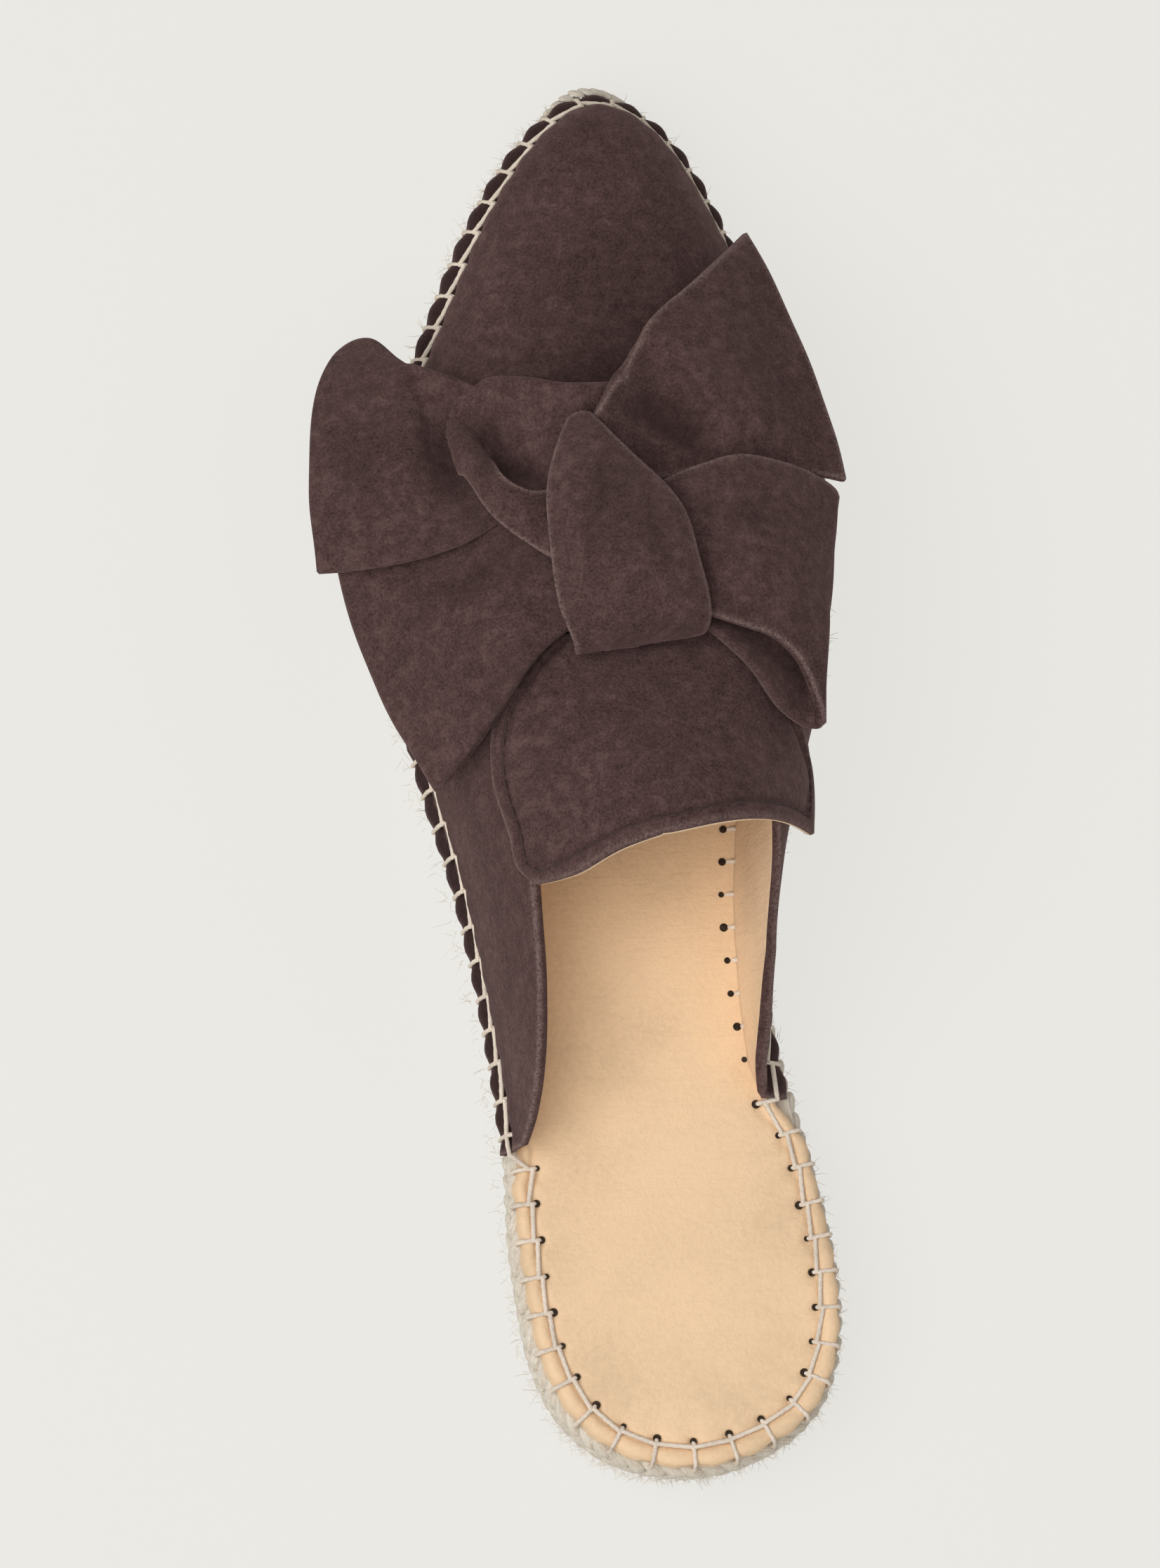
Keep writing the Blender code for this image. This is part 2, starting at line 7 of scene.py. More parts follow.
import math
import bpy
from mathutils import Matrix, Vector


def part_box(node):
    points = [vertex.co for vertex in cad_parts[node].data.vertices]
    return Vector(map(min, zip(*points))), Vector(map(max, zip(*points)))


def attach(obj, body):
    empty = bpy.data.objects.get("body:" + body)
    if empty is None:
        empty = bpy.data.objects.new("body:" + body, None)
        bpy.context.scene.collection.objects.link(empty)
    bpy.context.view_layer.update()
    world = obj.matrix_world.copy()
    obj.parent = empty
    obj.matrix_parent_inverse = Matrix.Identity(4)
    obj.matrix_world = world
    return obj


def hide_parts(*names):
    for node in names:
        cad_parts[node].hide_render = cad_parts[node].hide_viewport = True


bl_info = {
    "name": "Babouche dressing",
    "version": (1, 0, 0),
    "blender": (4, 5, 0),
    "location": "3D View > Sidebar > Babouche",
    "description": "Makes the visible pieces of a suede babouche on a plaited rope sole",
    "category": "Object",
}

from collections import namedtuple
from functools import partial

import bpy
import numpy as np
from bpy.props import FloatProperty, FloatVectorProperty, IntProperty, PointerProperty
from mathutils import Matrix, Vector, kdtree

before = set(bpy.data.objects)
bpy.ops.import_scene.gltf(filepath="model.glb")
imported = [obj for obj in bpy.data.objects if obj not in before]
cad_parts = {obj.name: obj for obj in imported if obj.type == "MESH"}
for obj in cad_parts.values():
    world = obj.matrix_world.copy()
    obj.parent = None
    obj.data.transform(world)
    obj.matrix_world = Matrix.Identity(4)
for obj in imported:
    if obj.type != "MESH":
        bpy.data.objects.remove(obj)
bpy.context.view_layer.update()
METRES_PER_MM = 0.001


def table(columns, *rows):
    """Named columns, one row for each section."""
    return dict(zip(columns.split(), np.array(rows, float).T))


# Sizes of the sole, the insole, the upper, the tongue and the bow
LENGTH = 258.0
HEEL_FLAT = (6.0, 72.0)
BALL_FLAT = (138.0, 202.0)
ARCH_LIFT = 1.4
TOE_SPRING = 6.0
HEEL_END_LIFT = 1.2
ROPE_COURSES = 3
SIDE_TAPER = 2.8
MEETING_GAP = 0.3
UPPER_WALL = 1.8
FEATHER_INSET = 1.3
FEATHER_FLUSH = 1.1
FLUSH_STATIONS = (45.0, 60.0, 185.0, 215.0)
INSOLE_THICKNESS = 2.4
INSOLE_HEEL_INSET = 1.2
INSOLE_BACK_INSET = -0.3
INSOLE_SIDE_INSET = 0.1
INSOLE_CLEARANCE = 1.2
INSOLE_STEP = {"lateral": (54.0, 60.0), "medial": (61.0, 68.0)}
TONGUE_THICKNESS = 1.7
TONGUE_GAP = 0.45
TONGUE_FRONT = 150.0
TONGUE_FLARE = 3.2
FLARE_ALONG = 0.4
FLARE_ACROSS = 0.3
THROAT = 121.0
RIBBON_THICKNESS = 1.8
WORN_WIDTH = 0.6
SHOULDER = 0.6

# The stitched edge and its gathers
EDGE_STEPS = 2881
EDGE_PINCH = 0.6
PINCH_WIDTH = 1.8
PULL_WIDTH = 2.6
SPREAD_RUN = 20.0
HEEL_EASE = 0.18
REAR_OVERHANG = 1.5
LEAN_RISE = 6.0
MEDIAL_FROM = 5.0
CELL_POWER = 0.7
SWELL_POWER = 0.8
LINE_DEPTH = 0.6
LINE_WIDTH = 0.75
HOLE_DEPTH = 1.1
HOLE_BEYOND = 1.0
HOLE_SPREAD = 0.8
FAN_DEPTH = 0.35
FAN_REACH = 3.5

SOLE_EDGE = table(
    "station lateral medial",
    (3, -11.5, 15.5),
    (10, -20.3, 25.6),
    (22, -26.2, 31.0),
    (36, -28.4, 31.6),
    (56, -29.8, 28.4),
    (76, -31.4, 24.3),
    (93, -33.6, 22.2),
    (110, -36.6, 24.6),
    (130, -41.4, 30.6),
    (152, -45.2, 36.8),
    (174, -45.9, 39.4),
    (192, -43.0, 38.6),
    (207, -38.5, 34.6),
    (221, -32.6, 27.8),
    (234, -26.4, 22.2),
    (246, -18.8, 16.0),
    (253, -12.4, 10.0),
)
HEEL_CENTRE = 2.0
TOE_CENTRE = -1.8
SOLE_DEPTH = table(
    "station depth",
    (0, 20.0),
    (60, 19.5),
    (110, 17.5),
    (165, 15.0),
    (215, 13.0),
    (258, 10.0),
)
CROWN = table(
    "station crown_x crown_rise lateral_full medial_full",
    (40, -1.0, 64.0, 1.65, 1.0),
    (80, -3.0, 60.0, 1.65, 1.5),
    (92, -4.0, 58.0, 1.7, 2.15),
    (105, -5.0, 55.5, 1.8, 2.6),
    (125, -5.0, 50.5, 2.0, 2.6),
    (150, -3.5, 43.0, 2.1, 2.4),
    (175, -2.0, 35.5, 2.2, 2.3),
    (200, -1.0, 28.5, 2.2, 2.2),
    (225, -1.0, 22.8, 2.1, 2.1),
    (242, -1.5, 18.6, 2.0, 2.0),
    (252, -1.8, 13.4, 2.0, 2.0),
    (256.5, -1.8, 7.6, 2.0, 2.0),
    (258, -1.8, 0.0, 2.0, 2.0),
)
TOPLINE = {
    "lateral": table(
        "station rise",
        (60, 12.5),
        (63, 17.5),
        (68, 22.5),
        (75, 26.8),
        (86, 31.0),
        (98, 34.0),
        (110, 37.0),
        (121, 40.0),
    ),
    "medial": table(
        "station rise",
        (69, 6.0),
        (73, 10.0),
        (80, 15.0),
        (88, 20.0),
        (96, 26.0),
        (105, 32.0),
        (113, 36.5),
        (121, 40.0),
    ),
}
QUARTER_REAR = {side: rows["station"][0] for side, rows in TOPLINE.items()}
LINING_FOOT = table(
    "station foot_x hole_x",
    (69, 18.5, 16.8),
    (75, 16.4, 15.9),
    (87, 15.4, 14.0),
    (99, 15.2, 13.4),
    (106, 15.4, 13.2),
    (119, 16.8, 14.5),
    (135, 20.0, 17.0),
)
LINING_FADE = (125.0, 150.0)
STEEP_MEDIAL = (185.0, 200.0)
REAR_LEAN = table(
    "station shift",
    (69, 3.2),
    (75, 2.6),
    (82, 1.4),
    (93, 0.0),
)
HEEL_SEAM = table(
    "turn reach",
    (0.0, 3.6),
    (0.45, 3.4),
    (0.75, 3.0),
    (1.05, 2.4),
    (5.15, 2.7),
    (5.5, 3.5),
    (5.9, 3.8),
    (math.tau, 3.6),
)
TONGUE_SIDES = table(
    "station lateral medial",
    (104, -24.5, 17.0),
    (107, -26.8, 18.2),
    (114, -28.5, 21.4),
    (126, -31.0, 25.0),
    (136, -30.0, 22.0),
    (150, -21.0, 14.0),
)
TONGUE_BACK = table(
    "across station",
    (0.0, 104.5),
    (0.12, 104.8),
    (0.35, 109.0),
    (0.62, 112.8),
    (0.85, 113.9),
    (1.0, 113.3),
)

# The bow's bands. Each row is one crosswise section: plan place and height over the vamp of the band's
# toeward edge, middle and heelward edge. Loops run out from the knot, round their fold and back below.
BAND_COLUMNS = "toe_x toe_y toe_lift mid_x mid_y mid_lift heel_x heel_y heel_lift"
BANDS = {
    "bow_loop_left": table(
        BAND_COLUMNS,
        (-7.5, 171.0, 5.6, -7.5, 162.0, 6.4, -7.5, 153.0, 7.2),
        (-24.0, 171.5, 6.6, -24.0, 159.0, 8.0, -22.0, 148.0, 7.8),
        (-38.0, 170.5, 7.6, -36.0, 153.0, 9.0, -31.0, 137.5, 8.2),
        (-50.0, 168.5, 7.4, -46.5, 148.0, 8.2, -38.5, 128.0, 7.2),
        (-55.8, 167.0, 5.6, -51.0, 146.0, 5.8, -41.6, 124.0, 5.6),
        (-52.5, 166.0, 2.9, -48.5, 146.5, 3.2, -39.5, 126.0, 3.9),
        (-40.0, 167.0, 1.9, -37.0, 152.0, 2.6, -31.0, 137.0, 5.0),
        (-26.0, 168.5, 1.9, -25.0, 158.0, 2.6, -22.0, 149.0, 4.8),
        (-7.5, 169.5, 1.9, -7.5, 162.0, 2.4, -7.5, 154.0, 4.4),
    ),
    "bow_loop_right": table(
        BAND_COLUMNS,
        (-5.5, 174.0, 7.0, -5.5, 164.0, 7.6, -5.5, 153.5, 7.8),
        (8.0, 180.0, 10.2, 10.0, 165.0, 11.0, 11.0, 150.0, 9.2),
        (18.0, 182.0, 10.6, 21.0, 164.0, 12.0, 20.5, 146.5, 9.6),
        (28.8, 179.8, 10.0, 27.8, 160.0, 11.0, 25.2, 141.0, 9.2),
        (34.6, 176.0, 8.0, 30.3, 153.5, 8.0, 27.1, 131.5, 7.4),
        (31.5, 174.2, 4.6, 28.0, 153.5, 4.6, 25.0, 131.6, 4.8),
        (22.0, 173.0, 2.2, 22.0, 156.0, 3.4, 20.3, 134.5, 5.4),
        (12.0, 172.5, 1.9, 13.0, 160.0, 2.8, 12.4, 144.6, 5.0),
        (-5.0, 171.5, 1.9, -5.0, 163.0, 2.4, -5.0, 156.5, 4.6),
    ),
    "bow_tail_left": table(
        BAND_COLUMNS,
        (-17.0, 188.0, 1.7, -17.0, 182.0, 1.7, -17.0, 176.0, 1.7),
        (-30.0, 199.0, 6.0, -28.0, 186.0, 4.4, -26.5, 173.5, 8.5),
        (-39.5, 204.0, 8.0, -38.5, 186.0, 6.0, -37.0, 168.0, 12.2),
        (-42.4, 205.6, 6.8, -46.5, 189.5, 11.2, -48.6, 165.4, 13.8),
        (-46.6, 211.0, 3.4, -52.4, 192.0, 11.6, -54.4, 165.4, 13.6),
        (-53.2, 208.4, 4.5, -59.3, 192.8, 9.4, -60.6, 165.8, 12.6),
    ),
    "bow_tail_right": table(
        BAND_COLUMNS,
        (-5.1, 198.2, 12.6, -9.5, 192.5, 11.8, -13.5, 186.0, 10.0),
        (-3.6, 201.0, 11.8, -2.6, 191.0, 8.4, -4.0, 178.5, 6.2),
        (-0.6, 206.0, 11.0, 5.0, 192.6, 7.4, 9.0, 180.5, 5.0),
        (3.4, 210.6, 10.4, 13.0, 196.5, 10.6, 18.0, 182.5, 4.8),
        (12.6, 218.2, 9.6, 22.5, 200.0, 9.6, 27.5, 181.0, 6.4),
        (22.6, 227.4, 8.6, 31.6, 203.6, 8.6, 37.0, 179.5, 7.0),
    ),
    "bow_knot_wrap": table(
        BAND_COLUMNS,
        (-0.8, 198.6, 5.0, -3.0, 194.6, 4.2, -6.1, 190.4, 3.6),
        (-8.5, 196.8, 11.0, -10.0, 191.8, 8.0, -11.0, 185.2, 6.6),
        (-16.6, 196.9, 13.5, -17.0, 188.1, 8.8, -16.5, 176.6, 6.8),
        (-24.2, 198.6, 14.5, -24.0, 187.5, 9.6, -22.8, 174.8, 10.2),
        (-30.4, 198.3, 14.5, -31.0, 188.3, 11.4, -29.0, 176.0, 12.2),
        (-34.2, 194.4, 12.6, -36.0, 189.4, 13.2, -34.3, 181.6, 12.4),
        (-30.4, 189.4, 8.6, -33.7, 184.6, 16.6, -33.5, 178.9, 14.8),
        (-28.4, 178.8, 17.0, -29.6, 175.1, 16.8, -29.9, 172.0, 14.2),
        (-24.3, 176.0, 14.6, -25.0, 171.6, 14.6, -25.7, 167.6, 12.4),
        (-19.8, 176.1, 11.6, -20.4, 169.8, 11.9, -20.9, 163.5, 11.0),
        (-15.0, 175.9, 10.2, -15.8, 168.9, 10.6, -16.5, 161.3, 10.0),
    ),
    "bow_knot_tab": table(
        BAND_COLUMNS,
        (-11.9, 190.1, 12.4, -13.5, 190.4, 12.8, -15.1, 189.3, 12.4),
        (-5.6, 182.0, 14.8, -13.1, 180.4, 17.4, -18.7, 182.3, 14.6),
        (2.2, 171.5, 15.8, -10.6, 169.5, 19.6, -21.0, 173.5, 15.0),
        (4.4, 161.5, 15.2, -9.6, 158.9, 18.8, -21.1, 163.7, 14.6),
        (5.7, 153.4, 13.2, -8.0, 150.4, 14.8, -20.4, 152.7, 13.2),
        (5.9, 150.4, 10.6, -6.4, 147.6, 10.6, -18.4, 146.9, 10.2),
        (5.4, 148.8, 6.2, -6.6, 146.8, 6.0, -17.8, 146.2, 5.6),
    ),
}

# Soft ridges and troughs (height below 0) along plan lines, with their half widths left and right of the line
Crease = namedtuple("Crease", "line left right height")
CREASE_STEPS = 60
CREASE_REACH = 1.15
CREASE_EASE = 0.7
CREASES = {
    "upper": (
        Crease(((-34, 122), (-40, 150)), 4.0, 4.0, -0.5),
        Crease(((-12, 214), (10, 219)), 7.0, 7.0, -0.4),
        Crease(((-20, 226), (-6, 236)), 5.0, 5.0, 0.35),
        Crease(((27, 112), (33, 140)), 4.0, 4.0, -0.4),
    ),
    "tongue": (
        Crease(((-16, 108), (-20, 132)), 5.0, 5.0, -0.5),
        Crease(((9, 114), (13, 134)), 5.0, 5.0, 0.4),
    ),
    "bow_loop_left": (
        Crease(((-22, 166), (-46, 158)), 3.0, 3.0, -0.8),
        Crease(((-20, 157), (-42, 140)), 3.0, 3.0, 0.7),
        Crease(((-24, 152), (-38, 133)), 2.0, 2.0, -0.6),
    ),
    "bow_loop_right": (
        Crease(((5, 172), (27, 170)), 3.0, 3.0, -0.8),
        Crease(((8, 162), (27, 152)), 3.0, 3.0, 0.7),
        Crease(((9, 155), (25, 140)), 2.2, 2.2, -0.7),
    ),
    "bow_tail_left": (
        Crease(((-42.2, 202), (-42.4, 188), (-42.1, 172)), 4.5, 3.0, 1.5),
        Crease(((-35.6, 196), (-35.4, 186), (-35.0, 178)), 3.0, 3.0, -1.8),
        Crease(((-50, 198), (-53, 186), (-53, 172)), 3.5, 3.5, -0.5),
    ),
    "bow_tail_right": (
        Crease(((-1.5, 204.8), (5.6, 201.7), (10.3, 195.9), (14.0, 189.3), (16.0, 183.6)), 3.0, 1.3, 2.5),
        Crease(((-4.6, 193.5), (0.9, 191.9), (6.6, 188.3), (10, 184)), 4.0, 3.0, -2.2),
        Crease(((20, 211), (26, 196), (30, 184)), 4.0, 4.0, -0.5),
    ),
    "bow_knot_wrap": (
        Crease(((-28.5, 193.0), (-29.5, 187.5), (-26, 181.5), (-20, 180)), 2.4, 2.4, -2.0),
    ),
    "bow_knot_tab": (
        Crease(((-9, 184), (-15, 164)), 2.6, 2.6, -0.7),
        Crease(((-5, 180), (-2, 156)), 2.6, 2.6, -0.6),
    ),
}


def between(value, start, end):
    """How far the value is on its way from start to end, from 0 to 1."""
    return np.clip((value - start) / (end - start), 0, 1)


def bell(value, width):
    """A smooth bump: 1 at 0, fading out over the width."""
    return np.exp(-((value / width) ** 2))


def from_zero(steps):
    """Running sum of steps, starting at 0."""
    return np.concatenate([[0], np.cumsum(steps)])


def run_along(line):
    """Distance of each point of a line from its start."""
    return from_zero(np.linalg.norm(np.diff(line, axis=0), axis=1))


def points_at(at, run, line):
    """Points of a line at distances from its start."""
    return np.stack([np.interp(at, run, column) for column in line.T], -1)


def raised(plan, height):
    """Plan points at a height."""
    return np.concatenate([plan, height[..., None]], -1)


def grounded(plan):
    """Plan points at height 0."""
    return raised(plan, np.zeros(plan.shape[:-1]))


def quads(index):
    """The four corners of each cell in a grid of point numbers."""
    return np.stack([index[:-1, :-1], index[:-1, 1:], index[1:, 1:], index[1:, :-1]], -1)


def through(keys, values, period=None):
    """A smooth function through the given points, made of cubic pieces."""
    keys, values = np.asarray(keys, float), np.asarray(values, float)
    if period:
        keys = np.concatenate([keys - period, keys, keys + period])
        values = np.tile(values, 3)
    steps = np.diff(keys)
    slopes = np.diff(values) / steps
    inner = (slopes[:-1] * steps[1:] + slopes[1:] * steps[:-1]) / (steps[:-1] + steps[1:])
    first, last = 2 * slopes[0] - inner[0], 2 * slopes[-1] - inner[-1]
    tangents = np.concatenate([[first], inner, [last]])

    def at(key):
        key = np.clip(key, keys[0], keys[-1])
        i = np.clip(np.searchsorted(keys, key, side="right") - 1, 0, len(steps) - 1)
        t = (key - keys[i]) / steps[i]
        start, end = values[i], values[i + 1]
        out, back = tangents[i] * steps[i], tangents[i + 1] * steps[i]
        bend = 2 * (start - end) + out + back
        return start + t * (out + t * (3 * (end - start) - 2 * out - back + t * bend))

    return at


def unit(vectors):
    return vectors / np.maximum(np.linalg.norm(vectors, axis=-1, keepdims=True), 1e-9)


def turn_of(station, length=LENGTH):
    """The turn, from 0 at the heel end to pi at the toe tip, that reaches a station of the sole."""
    return np.arccos(np.clip(1 - 2 * np.asarray(station, float) / length, -1, 1))


def station_of(turn, length=LENGTH):
    """The station of the sole at a turn."""
    return length * (1 - np.cos(turn)) / 2


def heel_end(turn, power=6):
    """1 at the heel end, falling to 0 at the sides."""
    return np.maximum(np.cos(turn), 0) ** power


def lining_x(y, column):
    """x along the foot of the medial lining."""
    return np.interp(y, LINING_FOOT["station"], LINING_FOOT[column])


def sole_edge_x():
    """x of the sole's edge over a whole turn: heel end, lateral side, toe tip, medial side."""
    turns = turn_of(SOLE_EDGE["station"])
    keys = np.concatenate([[0], turns, [math.pi], math.tau - turns[::-1]])
    xs = np.concatenate([[HEEL_CENTRE], SOLE_EDGE["lateral"], [TOE_CENTRE], SOLE_EDGE["medial"][::-1]])
    return through(keys, xs, period=math.tau)


edge_x = sole_edge_x()
sole_depth = through(SOLE_DEPTH["station"], SOLE_DEPTH["depth"])
crown = {name: through(turn_of(CROWN["station"]), CROWN[name]) for name in CROWN}


def edge_plan(turn):
    return np.stack([edge_x(turn % math.tau), station_of(turn)], -1)


def edge_inwards(turn):
    """Plan direction from the sole's edge into the shoe."""
    small = 1e-3
    along = unit(edge_plan(turn + small) - edge_plan(turn - small))
    return np.stack([along[..., 1], -along[..., 0]], -1)


def edge_along(inwards):
    """Level direction along the sole's edge, from its inward direction."""
    return grounded(np.stack([-inwards[..., 1], inwards[..., 0]], -1))


def outline(turn, inset=0.0):
    """Plan points of the sole's edge at the given turns, moved inwards by inset."""
    turn = np.asarray(turn, float)
    return edge_plan(turn) + edge_inwards(turn) * np.asarray(inset, float)[..., None]


def floor_gap(y):
    """Height of the sole's underside: flat under heel and ball, arched between, sprung at the toe."""
    heel_from, heel_to = HEEL_FLAT
    ball_from, ball_to = BALL_FLAT
    arch = between(y, heel_to, ball_from)
    toe = between(y, ball_to, LENGTH)
    heel = between(y, heel_from, 0)
    return ARCH_LIFT * np.sin(math.pi * arch) ** 2 + TOE_SPRING * toe**2 + HEEL_END_LIFT * heel**2


def sole_top(y):
    return floor_gap(y) + sole_depth(y)


def sole_taper(level):
    """How far the sole's side draws in below its widest course, at a share of its height."""
    widest = 1 - 0.5 / ROPE_COURSES
    return SIDE_TAPER * max(0.0, 1 - level / widest)


def insole_top(y):
    return sole_top(y) + MEETING_GAP + INSOLE_THICKNESS


def feather_inset(turn):
    """How far inside the sole's edge the upper sits: nearly flush along the lateral side."""
    flush_from, flush_full, flush_to, flush_end = FLUSH_STATIONS
    station = station_of(turn)
    flush = between(station, flush_from, flush_full) * between(station, flush_end, flush_to)
    return FEATHER_INSET - FEATHER_FLUSH * flush * (np.sin(turn) > 0)


def insole_inset(turn):
    """How far in from the sole's edge the insole ends: a rope rim at the heel, clear of the upper ahead."""
    station = station_of(turn)
    lateral = (np.sin(turn) > 0)[..., None]
    step = np.where(lateral, INSOLE_STEP["lateral"], INSOLE_STEP["medial"])
    forward = between(station, step[..., 0], step[..., 1])
    heel = INSOLE_HEEL_INSET + INSOLE_BACK_INSET * heel_end(turn) + INSOLE_SIDE_INSET * np.sin(turn)
    fore = feather_inset(turn) + UPPER_WALL + INSOLE_CLEARANCE
    return heel + (fore - heel) * forward


def upper_point(turn, around):
    """A point of the upper's outer face.

    around runs from -1 at the lateral seat over 0 at the crown to 1 at the medial seat.
    """
    turn, around = np.broadcast_arrays(np.asarray(turn, float), np.asarray(around, float))
    medial = around > 0
    edge_turn = np.where(medial, math.tau - turn, turn)
    edge = outline(edge_turn, feather_inset(edge_turn))
    full = np.where(medial, crown["medial_full"](turn), crown["lateral_full"](turn))
    angle = (1 - np.abs(around)) * math.pi / 2
    spread = np.clip(np.cos(angle), 0, 1) ** (2 / full)
    rise = np.clip(np.sin(angle), 0, 1) ** (2 / full)
    crown_y = station_of(turn, LENGTH - FEATHER_INSET)
    crown_x = crown["crown_x"](turn)
    seat = sole_top(edge[..., 1]) + MEETING_GAP
    top = sole_top(crown_y) + MEETING_GAP + crown["crown_rise"](turn)
    across = crown_x + (edge[..., 0] - crown_x) * spread
    along = crown_y + (edge[..., 1] - crown_y) * spread
    return np.stack([across, along, seat + (top - seat) * rise], -1)


def upper_offset(turn, around, distance):
    """A point of the upper's form moved outwards by distance."""
    small = 1e-3
    turn, around = np.broadcast_arrays(np.asarray(turn, float), np.asarray(around, float))
    near = np.clip(turn, small, math.pi - 20 * small)
    inside = np.clip(around, small - 1, 1 - small)
    along = upper_point(near + small, inside) - upper_point(near - small, inside)
    across = upper_point(near, inside + small) - upper_point(near, inside - small)
    normal = unit(np.cross(across, along))
    return upper_point(turn, around) + normal * np.asarray(distance, float)[..., None]


def around_of_rise(turn, rise, side):
    """Where the section reaches a height above its seat."""
    full = crown[f"{side}_full"](turn)
    angle = np.arcsin(np.clip(rise / crown["crown_rise"](turn), 0, 1) ** (full / 2))
    return (1 if side == "medial" else -1) * (1 - angle / (math.pi / 2))


def section_spread(x, turn):
    """How far x lies from the crown towards the seat, as a share, with the section's fullness and seat."""
    middle = crown["crown_x"](turn)
    medial = x > middle
    edge_turn = np.where(medial, math.tau - turn, turn)
    edge = outline(edge_turn, feather_inset(edge_turn))
    full = np.where(medial, crown["medial_full"](turn), crown["lateral_full"](turn))
    return np.abs((x - middle) / (edge[..., 0] - middle)), full, edge, medial


def around_of_x(turn, x):
    """Where the section reaches a plan x."""
    spread, full, _, medial = section_spread(x, turn)
    angle = np.arccos(np.clip(spread, 0, 1) ** (full / 2))
    return np.where(medial, 1, -1) * (1 - angle / (math.pi / 2))


def upper_height(plan):
    """Height of the upper's outer face over a plan point."""
    turn = turn_of(plan[..., 1], LENGTH - FEATHER_INSET)
    spread, full, edge, _ = section_spread(plan[..., 0], turn)
    rise = (1 - np.clip(spread, 0, 1) ** full) ** (1 / full)
    seat = sole_top(edge[..., 1]) + MEETING_GAP
    top = sole_top(plan[..., 1]) + MEETING_GAP + crown["crown_rise"](turn)
    return seat + (top - seat) * rise


def tongue_flare(forward, across):
    """How far the tongue's medial back corner stands off the quarter."""
    from_back = np.clip(1 - forward / FLARE_ALONG, 0, 1)
    from_side = np.clip(1 - (1 - across) / FLARE_ACROSS, 0, 1)
    return TONGUE_FLARE * from_back * from_side**2


def drape(x, y):
    """Height of a cloth laid over the vamp: its section near the crown, then straight on beyond SHOULDER."""
    turn = turn_of(y)
    spread, full, _, _ = section_spread(x, turn)
    near = np.minimum(spread, SHOULDER)
    rise = (1 - near**full) ** (1 / full)
    slope = near ** (full - 1) * (1 - near**full) ** (1 / full - 1)
    return sole_top(y) + MEETING_GAP + crown["crown_rise"](turn) * (rise - slope * (spread - near))


def frame_shift():
    """What takes the shoe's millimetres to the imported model's place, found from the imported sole."""
    low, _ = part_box("rope_sole")
    turns = np.linspace(0, math.tau, 721)
    return np.array([low[0] / METRES_PER_MM - edge_x(turns).min(), low[1] / METRES_PER_MM, 0])


SHIFT = frame_shift()


def ripple(points, wavelength, seed, waves=8):
    """Slow unevenness of a hand-made surface, about -1 to 1."""
    random = np.random.default_rng(seed)
    total = 0
    for _ in range(waves):
        direction = unit(random.normal(size=3)) * math.tau / (wavelength * random.uniform(0.7, 1.5))
        total = total + np.sin(points @ direction + random.uniform(0, math.tau))
    return total / math.sqrt(waves)


def crease_height(points, creases):
    """Sum of the soft troughs and ridges at plan points."""
    total = np.zeros(points.shape[:-1])
    for crease in creases:
        line = np.array(crease.line, float)
        run = run_along(line)
        path = points_at(np.linspace(0, run[-1], CREASE_STEPS), run, line)
        offset = points[..., None, :2] - path
        away = np.linalg.norm(offset, axis=-1)
        index = away.argmin(axis=-1)
        near = np.take_along_axis(offset, index[..., None, None], -2)[..., 0, :]
        along = np.gradient(path, axis=0)[index]
        left = along[..., 0] * near[..., 1] > along[..., 1] * near[..., 0]
        width = np.where(left, crease.left, crease.right)
        from_middle = np.abs(2 * index / (CREASE_STEPS - 1) - 1)
        fade = np.clip(CREASE_REACH - from_middle, 0, 1) ** CREASE_EASE
        total += crease.height * fade * bell(away.min(axis=-1), width)
    return total


def nearest(points, line):
    """Distance from each point to a line of points, and which of them is nearest."""
    tree = kdtree.KDTree(len(line))
    for i, place in enumerate(line):
        tree.insert(place, i)
    tree.balance()
    found = [tree.find(point)[1:] for point in points.reshape(-1, 3)]
    index, distance = np.array(found).T
    return distance.reshape(points.shape[:-1]), index.astype(int).reshape(points.shape[:-1])


